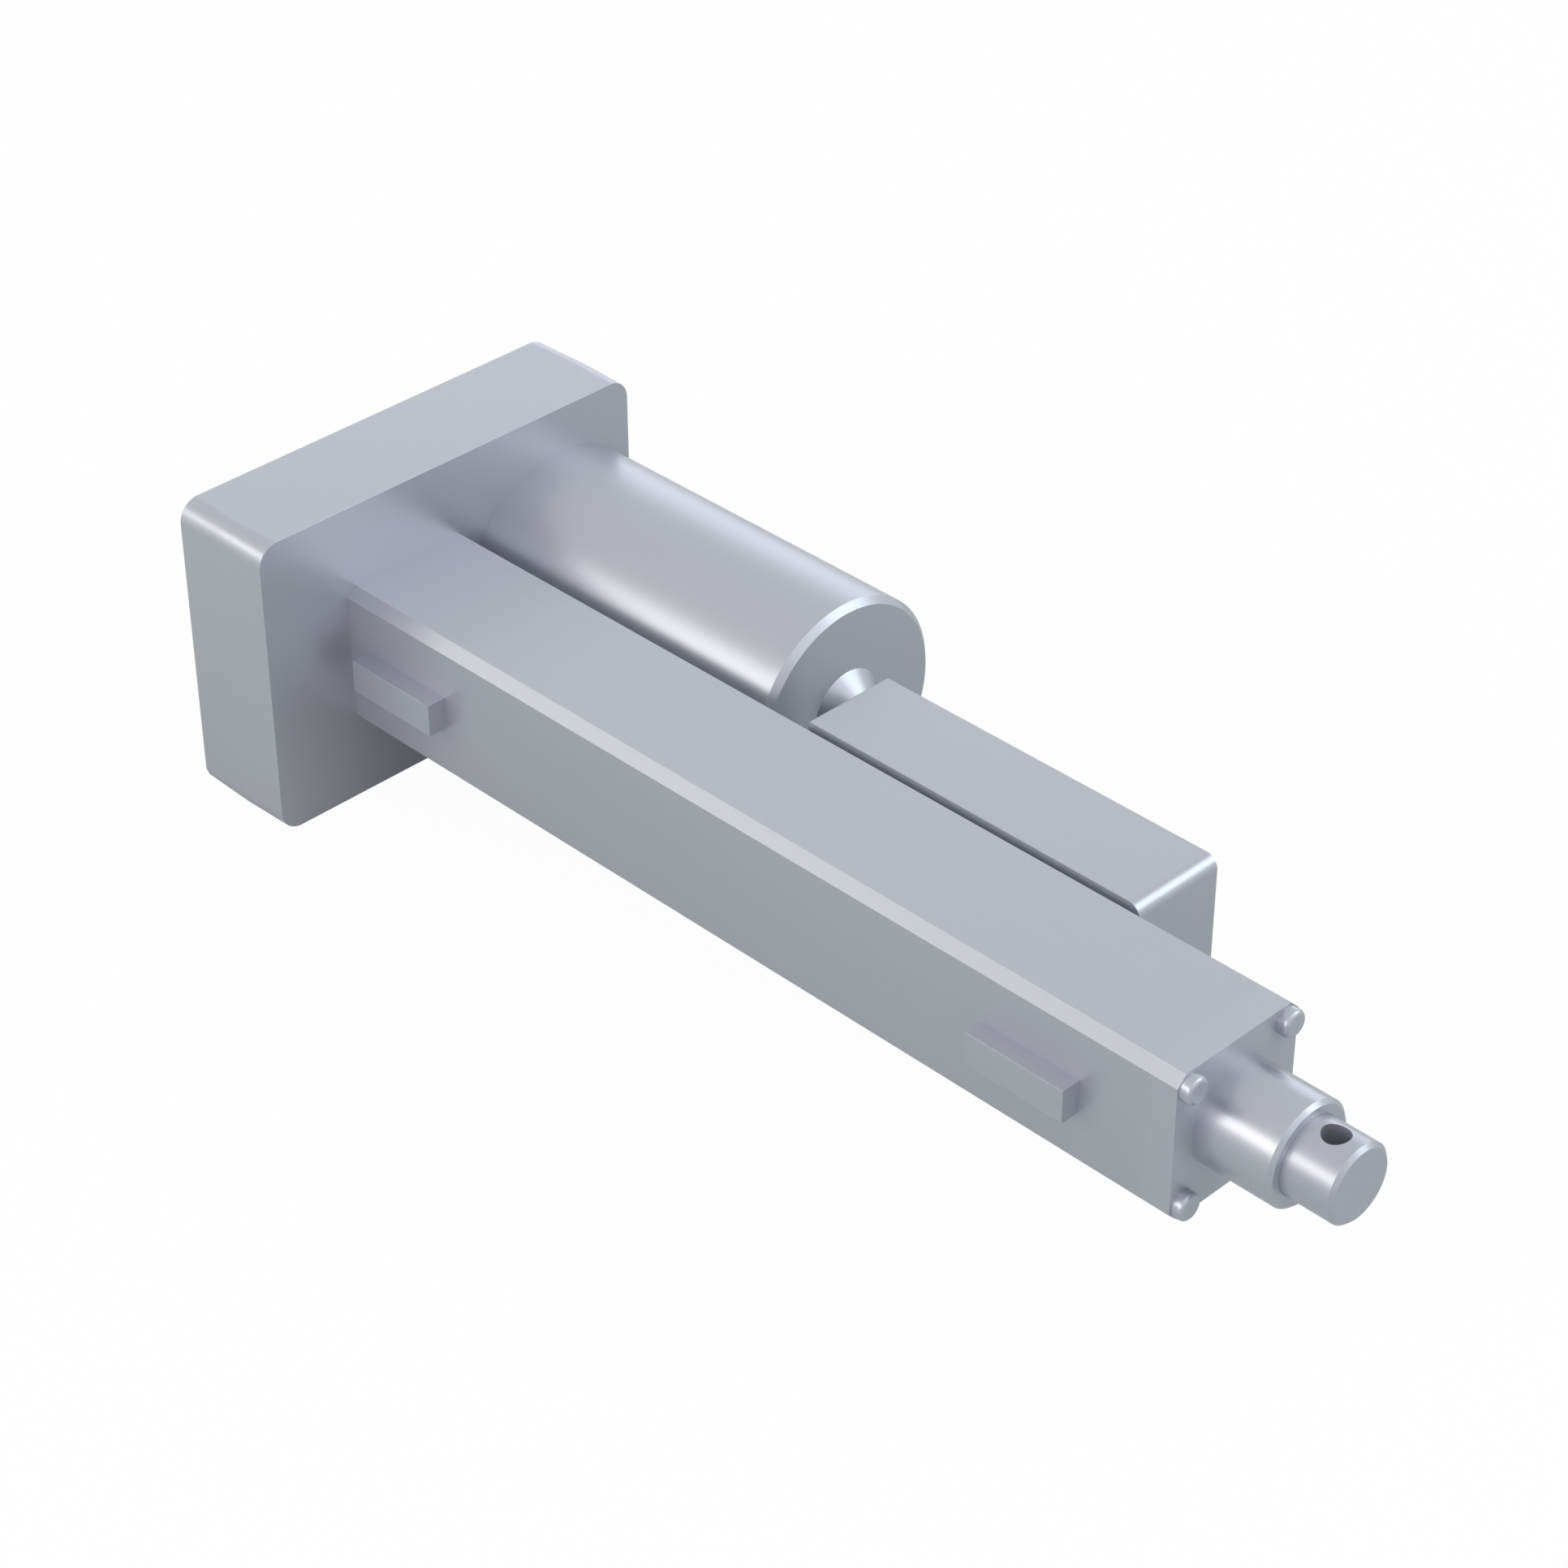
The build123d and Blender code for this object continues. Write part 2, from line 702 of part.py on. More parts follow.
def make_front_cap():
    """Front cap with the section of the tube, a spigot into the bore and the long collar."""
    x_spigot = x_tube_front - cap_spigot
    bush_outer = rod_diameter / 2 + running_gap + bush_wall
    wiper_outer = rod_diameter / 2 + wiper_wall
    lip_bore = rod_diameter / 2 + collar_lip_gap
    spigot_radius = tube_bore_diameter / 2 - seat_gap
    body = turned(
        [
            (x_spigot, bush_outer),
            (x_spigot, spigot_radius),
            (x_tube_front, spigot_radius),
            (x_cap_front, spigot_radius),
            (x_cap_front, collar_diameter / 2),
            (x_collar_front - collar_chamfer, collar_diameter / 2),
            (x_collar_front, collar_diameter / 2 - collar_chamfer),
            (x_collar_front, lip_bore),
            (x_collar_front - collar_lip_width, lip_bore),
            (x_collar_front - collar_lip_width, wiper_outer),
            (x_bush_end(), wiper_outer),
            (x_bush_end(), bush_outer),
        ]
    )
    plate = prism(tube_outline() - Circle(bush_outer), x_tube_front, x_cap_front)
    for y, z in port_places():
        plate -= rod_of(m4_clear, x_tube_front, x_cap_front, y, z)
    return plate + body


def make_guide_bush():
    """Bronze bush that guides the rod."""
    bore = rod_diameter + 2 * running_gap
    return ring_of(bore + 2 * bush_wall, bore, x_tube_front - cap_spigot, x_bush_end())


def make_wiper():
    """Wiper ring with a lip that points outwards, in the groove of the collar."""
    lip = rod_diameter / 2 + running_gap
    outer = rod_diameter / 2 + wiper_wall
    x_start = x_bush_end()
    x_end = x_start + wiper_width
    return turned(
        [
            (x_start, lip + wiper_lip_relief),
            (x_start, outer),
            (x_end, outer),
            (x_end, lip),
            (x_end - wiper_lip_width, lip),
        ]
    )


def make_end_bumper():
    """Ring in the tube that cushions the nut at full stroke."""
    outer = tube_bore_diameter - 2 * seat_gap
    return ring_of(outer, rod_diameter + 2 * free_gap, x_bumper, x_bumper + bumper_width)


def make_front_screws():
    """Four cap screws with plain round heads, their rims rounded, into the ports of the tube."""
    head = fillet(
        rod_of(front_head_diameter, 0, front_head_height).edges().sort_by(Axis.X)[-1], front_head_rounding
    )
    screw = head + rod_of(m4_thread, -front_screw_length, 0)
    return copies(screw, [(x_cap_front, y, z) for y, z in port_places()])


def make_motor_can():
    """Drawn steel can, closed at its far end by a wall with a conical bearing boss."""
    x_end = x_case_front + motor_length
    radius = motor_diameter / 2
    boss_radius = motor_boss_base / 2
    bush_radius = motor_rear_bush_outer / 2
    can = turned(
        [
            (x_case_front, radius - motor_wall),
            (x_case_front, radius),
            (x_end - motor_end_chamfer, radius),
            (x_end, radius - motor_end_chamfer),
            (x_end, boss_radius),
            (x_end + motor_boss_height, boss_radius - motor_boss_height),
            (x_end + motor_boss_height, 0),
            (x_motor_bush() + motor_rear_bush_length, 0),
            (x_motor_bush() + motor_rear_bush_length, bush_radius),
            (x_end - motor_end_wall, bush_radius),
            (x_end - motor_end_wall, radius - motor_wall),
        ]
    )
    return Pos(0, motor_y, motor_rise) * can


def x_motor_bush():
    """Start of the rear bush of the motor."""
    return x_case_front + motor_length - motor_end_wall + free_gap


def make_motor_end_plate():
    """Plate that closes the motor at the gear case, with the pilot and the front bearing seat."""
    x_end = x_case_front + motor_end_plate
    x_pilot = x_case_front - case_front_wall
    plate = rod_of(motor_diameter - 2 * motor_wall, x_case_front, x_end)
    plate += rod_of(motor_pilot_diameter, x_pilot, x_case_front)
    plate -= rod_of(motor_front_bearing_outer, x_pilot + motor_pilot_lip, x_end)
    plate -= rod_of(motor_shaft_diameter + 4 * free_gap, x_pilot, x_end)
    x_tip = x_case_front + motor_screw_reach()
    for side in (-1, 1):
        plate -= rod_of(m4_thread, x_case_front, x_tip, 0, side * motor_screw_circle / 2)
    return Pos(0, motor_y, motor_rise) * plate


def motor_screw_reach():
    """How far the motor screws reach past the face of the case."""
    return motor_screw_length - case_front_wall


def make_motor_screws():
    """Two screws from inside the case into the end plate of the motor."""
    screw = socket_screw(m4_thread, motor_screw_length, m4_head, m4_head_height, m4_head_height / 2)
    x_seat = x_case_front - case_front_wall
    reach = motor_screw_circle / 2
    return copies(screw, [(x_seat, motor_y, motor_rise + side * reach) for side in (-1, 1)])


def make_motor_shaft():
    """Stepped motor shaft from the pinion to the rear bush."""
    x_step = x_motor_bush() - free_gap
    shaft = rod_of(motor_shaft_diameter, x_fine_gears, x_step)
    shaft += rod_of(motor_rear_journal, x_step, x_motor_bush() + motor_rear_bush_length - free_gap)
    return Pos(0, motor_y, motor_rise) * shaft


def make_motor_rear_bush():
    """Bronze bush in the far end of the motor."""
    x_start = x_motor_bush()
    bore = motor_rear_journal + 2 * running_gap
    return ring_of(
        motor_rear_bush_outer, bore, x_start, x_start + motor_rear_bush_length, motor_y, motor_rise
    )


def motor_inner_radius():
    """Inside of the motor can."""
    return motor_diameter / 2 - motor_wall


def armature_radius():
    """Outside of the armature, inside the magnets."""
    return motor_inner_radius() - magnet_thickness - air_gap


def make_motor_magnets():
    """Curved magnets on the inside of the motor can."""
    outer = motor_inner_radius()
    half_turn = math.radians(magnet_arc / 2)
    far = 2 * outer
    wedge = make_face(
        Polyline(
            (0, 0),
            (far * math.cos(half_turn), -far * math.sin(half_turn)),
            (far * math.cos(half_turn), far * math.sin(half_turn)),
            close=True,
        )
    )
    section = (Circle(outer) - Circle(outer - magnet_thickness)) & wedge
    x_start = x_case_front + armature_start - (magnet_length - armature_length) / 2
    magnet = prism(section, x_start, x_start + magnet_length)
    turns = [magnet_start_angle + 360 * number / magnet_count for number in range(magnet_count)]
    return Compound(children=[Pos(0, motor_y, motor_rise) * Rot(turn, 0, 0) * magnet for turn in turns])


def slot_outlines():
    """Winding slots of the armature."""
    radius = armature_radius()
    slot = Pos(radius - armature_slot_depth / 2, 0) * Rectangle(armature_slot_depth, armature_slot_width)
    return [Rot(0, 0, 360 * number / armature_slots) * slot for number in range(armature_slots)]


def make_armature():
    """Laminated core of the motor."""
    section = Circle(armature_radius()) - Circle(motor_shaft_diameter / 2)
    for slot in slot_outlines():
        section -= slot
    x_start = x_case_front + armature_start
    return Pos(0, motor_y, motor_rise) * prism(section, x_start, x_start + armature_length)


def make_windings():
    """Copper windings: a bundle in each slot and a ring of end turns on each side."""
    x_start = x_case_front + armature_start
    x_end = x_start + armature_length
    bottom = armature_radius() - armature_slot_depth
    full = Circle(armature_radius() - winding_cover)
    section = full - Circle(bottom)
    winding = prism(section, x_start - winding_overhang, x_start)
    winding += prism(section, x_end, x_end + winding_overhang)
    for slot in slot_outlines():
        winding += prism((slot & full) - Circle(bottom), x_start, x_end)
    return Pos(0, motor_y, motor_rise) * winding


def make_commutator():
    """Commutator with a slit between each pair of bars."""
    section = Circle(commutator_diameter / 2) - Circle(motor_shaft_diameter / 2)
    slit = Pos(commutator_diameter / 2, 0) * Rectangle(2 * commutator_slit_depth, commutator_slit)
    for number in range(armature_slots):
        section -= Rot(0, 0, 360 * (number + 0.5) / armature_slots) * slit
    x_start = x_case_front + commutator_start
    return Pos(0, motor_y, motor_rise) * prism(section, x_start, x_start + commutator_length)


def brush_places():
    """The two sides of the commutator on which a brush sits."""
    return [Pos(0, motor_y, motor_rise) * Rot(turn, 0, 0) for turn in (0, 180)]


def x_brush_middle():
    """Middle of the brushes along the shaft."""
    return x_case_front + commutator_start + commutator_length / 2


def make_brush_card():
    """Insulating card on the end plate, with a guide box for each brush."""
    x_start = x_case_front + motor_end_plate
    card_outer = 2 * (motor_inner_radius() - seat_gap)
    card_bore = commutator_diameter + 2 * brush_card_gap
    card = ring_of(card_outer, card_bore, x_start, x_start + brush_card_thickness)
    x_end = x_brush_middle() + brush_length / 2 + brush_box_wall
    low = commutator_diameter / 2 + brush_box_gap
    high = low + brush_height + brush_spring_length
    box_long = x_end - x_start
    outer = Box(box_long, brush_width + 2 * brush_box_wall, high - low + brush_box_wall)
    guide = Pos(x_start + box_long / 2, 0, (low + high + brush_box_wall) / 2) * outer
    hole = Box(brush_length + 2 * seat_gap, brush_width + 2 * seat_gap, high - low)
    guide -= Pos(x_brush_middle(), 0, (low + high) / 2) * hole
    card += guide + Rot(180, 0, 0) * guide
    hole_card = Pos(x_brush_middle(), 0, 0) * Box(
        brush_length + 2 * seat_gap, brush_width + 2 * seat_gap, 2 * high
    )
    return Pos(0, motor_y, motor_rise) * (card - hole_card)


def make_brushes():
    """Two carbon brushes with faces curved to the commutator."""
    low = commutator_diameter / 2 + running_gap
    z_middle = low - brush_face_rise + brush_height / 2
    brush = Pos(x_brush_middle(), 0, z_middle) * Box(brush_length, brush_width, brush_height)
    brush -= rod_of(2 * low, x_brush_middle() - brush_length, x_brush_middle() + brush_length)
    return Compound(children=[place * brush for place in brush_places()])


def make_brush_springs():
    """Springs behind the brushes, drawn as plain pillars."""
    low = commutator_diameter / 2 + running_gap + brush_height - brush_face_rise
    high = commutator_diameter / 2 + brush_box_gap + brush_height + brush_spring_length
    spring = Pos(x_brush_middle(), 0, (low + high) / 2) * Cylinder(brush_spring_diameter / 2, high - low)
    return Compound(children=[place * spring for place in brush_places()])


def box_outline(inset, front_round):
    """Side view of the box, rounded at its front, inside its outline by the given inset."""
    length = box_length - 2 * inset
    outline = Rectangle(length, box_height - 2 * inset)
    return fillet(outline.vertices().sort_by(Axis.X)[-2:], front_round)


def box_slab(outline, y_start, y_end):
    """Solid between two Y places, from a side view drawn about the middle of the box."""
    x_middle = x_case_front + box_start + box_length / 2
    return extrude(Plane.XZ.offset(-y_end) * Pos(x_middle, 0) * outline, y_end - y_start)


def lid_post_places():
    """X and Z of the four posts for the lid screws, from the middle of the box."""
    x = box_length / 2 - lid_post_inset
    z = box_height / 2 - lid_post_inset
    return [(side * x, level * z) for side in (-1, 1) for level in (-1, 1)]


def make_side_box():
    """Control box on the side of the tube, open on its outer side, with posts for lid and board."""
    y_start = tube_width / 2
    y_end = y_start + box_width
    y_floor = y_start + box_wall
    y_lid = y_end - lid_thickness
    box = box_slab(box_outline(0, box_front_round), y_start, y_end)
    rear_edges = box.edges().filter_by(Axis.Y).sort_by(Axis.X)[:2]
    box = fillet(rear_edges, box_corner_round)
    box -= box_slab(box_outline(box_wall, box_front_round - box_wall), y_floor, y_end)
    for x, z in lid_post_places():
        box += box_slab(Pos(x, z) * Circle(lid_post_diameter / 2), y_floor, y_lid)
    for x in box_screw_places():
        box -= Pos(x, y_start, 0) * Rot(90, 0, 0) * Cylinder(m4_clear / 2, 4 * box_wall)
    for x, z in lid_post_places():
        box -= box_slab(Pos(x, z) * Circle(m3_thread / 2), y_lid - lid_screw_length, y_lid)
    for x, z in board_post_places():
        box += box_slab(Pos(x, z) * Circle(lid_post_diameter / 2), y_floor, y_floor + board_standoff)
    return box


def board_post_places():
    """X and Z of the posts that carry the board, from the middle of the box."""
    x = box_length / 2 - board_post_inset
    return [(-x, 0), (x, 0)]


def make_side_box_lid():
    """Flat lid let into the outer side of the box."""
    y_end = tube_width / 2 + box_width
    inset = box_wall + seat_gap
    lid = box_slab(box_outline(inset, box_front_round - box_wall), y_end - lid_thickness, y_end)
    for x, z in lid_post_places():
        lid -= box_slab(Pos(x, z) * Circle(m3_thread / 2), y_end - lid_thickness, y_end)
        lid -= box_slab(Pos(x, z) * Circle(m3_head / 2), y_end - lid_thickness / 2, y_end)
    return lid


def make_lid_screws():
    """Four flat screws, sunk in the lid."""
    y_end = tube_width / 2 + box_width
    screws = []
    for x, z in lid_post_places():
        y_tip = y_end - lid_thickness - lid_screw_length
        screw = box_slab(Pos(x, z) * Circle(m3_thread / 2), y_tip, y_end - lid_thickness / 2)
        screw += box_slab(Pos(x, z) * Circle(m3_head / 2), y_end - lid_thickness / 2, y_end)
        slot = Pos(x, z) * Rectangle(m3_head, lid_screw_slot)
        screws.append(screw - box_slab(slot, y_end - lid_thickness / 4, y_end))
    return Compound(children=screws)


def make_box_screws():
    """Two screws from inside the box into the side of the tube."""
    screw = socket_screw(m4_thread, box_screw_length, m4_head, m4_head_height, m4_head_height / 2)
    y_seat = tube_width / 2 + box_wall
    turned_screw = Rot(0, 0, -90) * screw
    return copies(turned_screw, [(x, y_seat, 0) for x in box_screw_places()])


def y_board():
    """Outer face of the board's posts, where the board rests."""
    return tube_width / 2 + box_wall + board_standoff


def make_control_board():
    """Circuit board on the posts of the box, notched round the lid posts."""
    length = box_length - 2 * (box_wall + board_margin)
    height = box_height - 2 * (box_wall + board_margin)
    outline = Rectangle(length, height)
    for x, z in lid_post_places():
        notch = lid_post_diameter + 2 * board_margin
        outline -= Pos(x, z) * Rectangle(notch, notch)
    return box_slab(outline, y_board(), y_board() + board_thickness)


def make_relays():
    """Two relays that reverse the motor."""
    y_start = y_board() + board_thickness
    outline = Rectangle(relay_length, relay_size)
    relays = [box_slab(Pos(x, 0) * outline, y_start, y_start + relay_size) for x in relay_places]
    return Compound(children=relays)


def make_terminal_block():
    """Screw terminals for the supply and the motor."""
    y_start = y_board() + board_thickness
    block = Pos(terminal_place, 0) * Rectangle(terminal_depth, terminal_length)
    return box_slab(block, y_start, y_start + terminal_height)


def make_capacitor():
    """Filter capacitor standing on the board."""
    y_start = y_board() + board_thickness
    outline = Pos(capacitor_place, 0) * Circle(capacitor_diameter / 2)
    return box_slab(outline, y_start, y_start + capacitor_length)


def make_sensor(x_start):
    """Reed sensor bar bonded to the side of the tube."""
    outline = Pos(-(tube_width + sensor_thickness) / 2, 0) * Rectangle(sensor_thickness, sensor_height)
    return prism(outline, x_start, x_start + sensor_length)


front_bearing = (screw_diameter, front_bearing_outer, front_bearing_width, x_front_bearing)
rear_bearing = (rear_journal_diameter, rear_bearing_outer, rear_bearing_width, x_rear_bearing)
x_motor_bearing = x_case_front - case_front_wall + motor_pilot_lip
motor_bearing = (motor_shaft_diameter, motor_front_bearing_outer, motor_front_bearing_width, x_motor_bearing)

parts = {
    "case_front": make_case_front(),
    "case_rear": make_case_rear(),
    "case_seal": make_case_seal(),
    "case_screws": make_case_screws(),
    "rear_clevis": make_rear_clevis(),
    "clevis_screws": make_clevis_screws(),
    "tube": make_tube(),
    "tube_screws": make_tube_screws(),
    "front_cap": make_front_cap(),
    "front_screws": make_front_screws(),
    "guide_bush": make_guide_bush(),
    "wiper_ring": make_wiper(),
    "end_bumper": make_end_bumper(),
    "rod": make_rod(),
    "drive_nut": make_nut(),
    "nut_grub_screws": make_grub_screws(),
    "magnet_ring": make_magnet_ring(),
    "lead_screw": make_lead_screw(),
    "screw_tip_guide": make_tip_guide(),
    "screw_gear": make_screw_gear(),
    "screw_key": key_shape(),
    "gear_spacer": make_gear_spacer(),
    "lock_nut": make_lock_nut(),
    "front_bearing_outer_ring": make_bearing_ring(*front_bearing, True),
    "front_bearing_inner_ring": make_bearing_ring(*front_bearing, False),
    "front_bearing_balls": make_balls(*front_bearing),
    "rear_bearing_outer_ring": make_bearing_ring(*rear_bearing, True),
    "rear_bearing_inner_ring": make_bearing_ring(*rear_bearing, False),
    "rear_bearing_balls": make_balls(*rear_bearing),
    "idler_gear": make_idler_gear(),
    "idler_pin": make_idler_pin(),
    "motor_pinion": make_pinion(),
    "motor_can": make_motor_can(),
    "motor_end_plate": make_motor_end_plate(),
    "motor_screws": make_motor_screws(),
    "motor_shaft": make_motor_shaft(),
    "motor_bearing_outer_ring": make_bearing_ring(*motor_bearing, True, motor_y, motor_rise),
    "motor_bearing_inner_ring": make_bearing_ring(*motor_bearing, False, motor_y, motor_rise),
    "motor_bearing_balls": make_balls(*motor_bearing, motor_y, motor_rise),
    "motor_rear_bush": make_motor_rear_bush(),
    "motor_magnets": make_motor_magnets(),
    "armature_core": make_armature(),
    "armature_windings": make_windings(),
    "commutator": make_commutator(),
    "brush_card": make_brush_card(),
    "brushes": make_brushes(),
    "brush_springs": make_brush_springs(),
    "side_box": make_side_box(),
    "side_box_lid": make_side_box_lid(),
    "lid_screws": make_lid_screws(),
    "box_screws": make_box_screws(),
    "control_board": make_control_board(),
    "relays": make_relays(),
    "terminal_block": make_terminal_block(),
    "filter_capacitor": make_capacitor(),
    "rear_sensor": make_sensor(x_rear_sensor),
    "front_sensor": make_sensor(x_front_sensor),
}

os.makedirs("parts", exist_ok=True)
for name, shape in parts.items():
    export_step(shape, "parts/" + name + ".step")

screw_turns = stroke / screw_thread_lead
motor_ratio = screw_gear_teeth / idler_small_teeth * idler_large_teeth / pinion_teeth
print("motor axis", round(motor_y, 6), motor_rise, "idler", round(idler_y, 6), round(idler_rise, 6))
print("screw turns", screw_turns, "motor turns per screw turn", round(motor_ratio, 5))
print("stroke", round(stroke, 3))
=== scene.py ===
import math

import bpy
from mathutils import Matrix, Vector


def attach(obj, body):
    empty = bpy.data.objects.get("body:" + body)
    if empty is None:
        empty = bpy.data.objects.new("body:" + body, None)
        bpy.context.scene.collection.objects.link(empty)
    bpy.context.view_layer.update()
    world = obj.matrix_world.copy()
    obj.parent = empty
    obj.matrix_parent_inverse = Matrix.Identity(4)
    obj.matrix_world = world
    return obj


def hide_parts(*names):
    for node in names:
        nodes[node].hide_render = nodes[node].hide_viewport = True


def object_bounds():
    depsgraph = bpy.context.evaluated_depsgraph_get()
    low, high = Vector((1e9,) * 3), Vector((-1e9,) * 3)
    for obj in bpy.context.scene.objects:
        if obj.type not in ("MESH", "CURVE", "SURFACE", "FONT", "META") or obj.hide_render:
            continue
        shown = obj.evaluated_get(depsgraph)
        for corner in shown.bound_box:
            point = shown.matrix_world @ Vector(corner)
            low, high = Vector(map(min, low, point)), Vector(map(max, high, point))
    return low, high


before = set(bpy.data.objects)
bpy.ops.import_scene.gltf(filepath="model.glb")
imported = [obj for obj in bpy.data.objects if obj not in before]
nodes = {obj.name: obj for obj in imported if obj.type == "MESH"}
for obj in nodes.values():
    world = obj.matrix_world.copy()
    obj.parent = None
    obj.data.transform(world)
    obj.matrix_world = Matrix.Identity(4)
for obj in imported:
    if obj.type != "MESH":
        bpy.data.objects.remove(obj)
cad_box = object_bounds()
MM = 0.001


# Camera
# Stands in front of the rod end, to the left of the tube and above it, where the photograph was
# taken from, and has the same long lens.
camera_place = (0.72835, -0.53313, 0.55020)
camera_tilt = 54.978
camera_roll = 0.188
camera_turn = 45.302
camera_lens = 91.235
sensor_width = 36.0
nearest_seen, farthest_seen = 0.01, 20.0

camera_data = bpy.data.cameras.new("camera")
camera_data.lens = camera_lens
camera_data.sensor_width = sensor_width
camera_data.clip_start = nearest_seen
camera_data.clip_end = farthest_seen
camera = bpy.data.objects.new("camera", camera_data)
camera.location = camera_place
camera.rotation_euler = [math.radians(angle) for angle in (camera_tilt, camera_roll, camera_turn)]
bpy.context.scene.collection.objects.link(camera)
bpy.context.scene.camera = camera
bpy.context.scene.view_settings.view_transform = "Standard"


# Gear case
# Two halves cast in aluminium, machined at the parting and blasted to a fine even grain. The tube,
# the motor and the clevis bolt to them. The corners are rounded, the rims of the faces only broken.
class Wire:
    """One socket in a material's nodes, which sums and products can use."""

    def __init__(self, tree, socket=None):
        self.tree = tree
        self.socket = socket

    def node(self, kind, settings, sockets, output=0):
        """Add a node, set it up, then fill its sockets with values or links."""
        added = self.tree.nodes.new(kind)
        for name, value in settings.items():
            setattr(added, name, value)
        for name, value in sockets.items():
            if isinstance(value, Wire):
                self.tree.links.new(value.socket, added.inputs[name])
            else:
                added.inputs[name].default_value = value
        return Wire(self.tree, added.outputs[output])

    def math(self, operation, first, second):
        """Add a Math node for two numbers."""
        return self.node("ShaderNodeMath", {"operation": operation}, {0: first, 1: second})

    def __add__(self, other):
        return self.math("ADD", self, other)

    def __radd__(self, other):
        return self.math("ADD", other, self)

    def __mul__(self, other):
        return self.math("MULTIPLY", self, other)

    def __rmul__(self, other):
        return self.math("MULTIPLY", other, self)


def start_material(name):
    """A new material with empty nodes, and its object coordinates."""
    material = bpy.data.materials.new(name)
    material.use_nodes = True
    material.node_tree.nodes.clear()
    wires = Wire(material.node_tree)
    place = wires.node("ShaderNodeTexCoord", {}, {}, "Object")
    return material, wires, place


def end_material(material, surface):
    """Join the surface shader to the output."""
    output = material.node_tree.nodes.new("ShaderNodeOutputMaterial")
    material.node_tree.links.new(surface.socket, output.inputs["Surface"])
    return material


def speckle(wires, place, scale, stretch=(1, 1, 1), detail=2.0):
    """Noise from 0 to 1, which a stretch below 1 draws out along that axis."""
    drawn = wires.node("ShaderNodeMapping", {}, {"Vector": place, "Scale": stretch})
    sockets = {"Vector": drawn, "Scale": scale, "Detail": detail}
    return wires.node("ShaderNodeTexNoise", {}, sockets, "Fac")


def blend_colors(wires, share, first, second):
    """Mix of two colours, or of two wires that carry colours."""
    ends = [end if isinstance(end, Wire) else (*end, 1.0) for end in (first, second)]
    sockets = {0: share, 6: ends[0], 7: ends[1]}
    return wires.node("ShaderNodeMix", {"data_type": "RGBA"}, sockets, 2)


def shades(color, tone):
    """A darker and a lighter shade of a colour."""
    return [part * (1 - tone) for part in color], [part * (1 + tone) for part in color]


def surface_finish(wires, color, metallic, roughness, height, depth, relief=0.35):
    """Surface shader, with a bump of a depth in metres, of which the relief share shows."""
    bump = {"Strength": relief, "Distance": depth, "Height": height}
    sockets = {"Base Color": color, "Metallic": metallic, "Roughness": roughness}
    sockets["Normal"] = wires.node("ShaderNodeBump", {}, bump)
    return wires.node("ShaderNodeBsdfPrincipled", {}, sockets)


def metal_finish(name, color, tone, metallic, roughness, grain, stretch, depth, relief=0.08):
    """Satin metal: its tone drifts slowly over the piece, and a fine grain lies over it."""
    drift, drift_detail = 14.0, 3.0
    drift_share, grain_share = 0.6, 0.4
    wear = 0.03
    material, wires, place = start_material(name)
    slow = speckle(wires, place, drift, detail=drift_detail)
    fine = speckle(wires, place, grain, stretch)
    base = blend_colors(wires, slow * drift_share + fine * grain_share, *shades(color, tone))
    worn = slow * wear + fine * wear + (roughness - wear)
    surface = surface_finish(wires, base, metallic, worn, fine, depth, relief)
    return end_material(material, surface)


def pick_only(piece):
    """Select one piece, and nothing else."""
    bpy.ops.object.select_all(action="DESELECT")
    bpy.context.view_layer.objects.active = piece
    piece.select_set(True)


def close_edit():
    """Leave edit mode."""
    bpy.ops.object.mode_set(mode="OBJECT")


def bevel_edges(piece, test, width, faces=3):
    """Chamfer the edges whose two ends pass a test with one face, or round them over with more."""
    pick_only(piece)
    mesh = piece.data
    for part in (*mesh.vertices, *mesh.polygons):
        part.select = False
    for edge in mesh.edges:
        edge.select = test(*[mesh.vertices[end].co / MM for end in edge.vertices])
    bpy.context.tool_settings.mesh_select_mode = (False, True, False)
    bpy.ops.object.mode_set(mode="EDIT")
    bpy.ops.mesh.bevel(offset=width * MM, segments=faces, affect="EDGES")
    close_edit()


def apply_modifier(piece, kind, settings):
    """Give a piece a modifier, and apply it."""
    pick_only(piece)
    modifier = piece.modifiers.new(kind.lower(), kind)
    for name, value in settings.items():
        setattr(modifier, name, value)
    bpy.ops.object.modifier_apply(modifier=modifier.name)


merge_distance = 0.001
flat_within = 0.5
smooth_within = 31.0
face_weight = 80


def casting_of(node_name, name):
    """Copy of a CAD node, with its points merged and its flat faces joined up."""
    piece = bpy.data.objects.new(name, nodes[node_name].data.copy())
    bpy.context.scene.collection.objects.link(piece)
    pick_only(piece)
    bpy.ops.mesh.customdata_custom_splitnormals_clear()
    bpy.ops.object.mode_set(mode="EDIT")
    bpy.ops.mesh.select_all(action="SELECT")
    bpy.ops.mesh.remove_doubles(threshold=merge_distance * MM)
    bpy.ops.mesh.dissolve_limited(angle_limit=math.radians(flat_within))
    close_edit()
    return piece


def shade(piece):
    """Clear the slivers that cutting leaves, then shade curves smooth and keep flat faces flat."""
    pick_only(piece)
    bpy.ops.object.mode_set(mode="EDIT")
    bpy.ops.mesh.select_all(action="SELECT")
    bpy.ops.mesh.remove_doubles(threshold=merge_distance * MM)
    bpy.ops.mesh.dissolve_degenerate(threshold=merge_distance * MM)
    close_edit()
    pick_only(piece)
    bpy.ops.object.shade_smooth_by_angle(angle=math.radians(smooth_within))
    apply_modifier(piece, "WEIGHTED_NORMAL", {"keep_sharp": True, "weight": face_weight})


slack = 0.01
case_corner_reach = 6.1


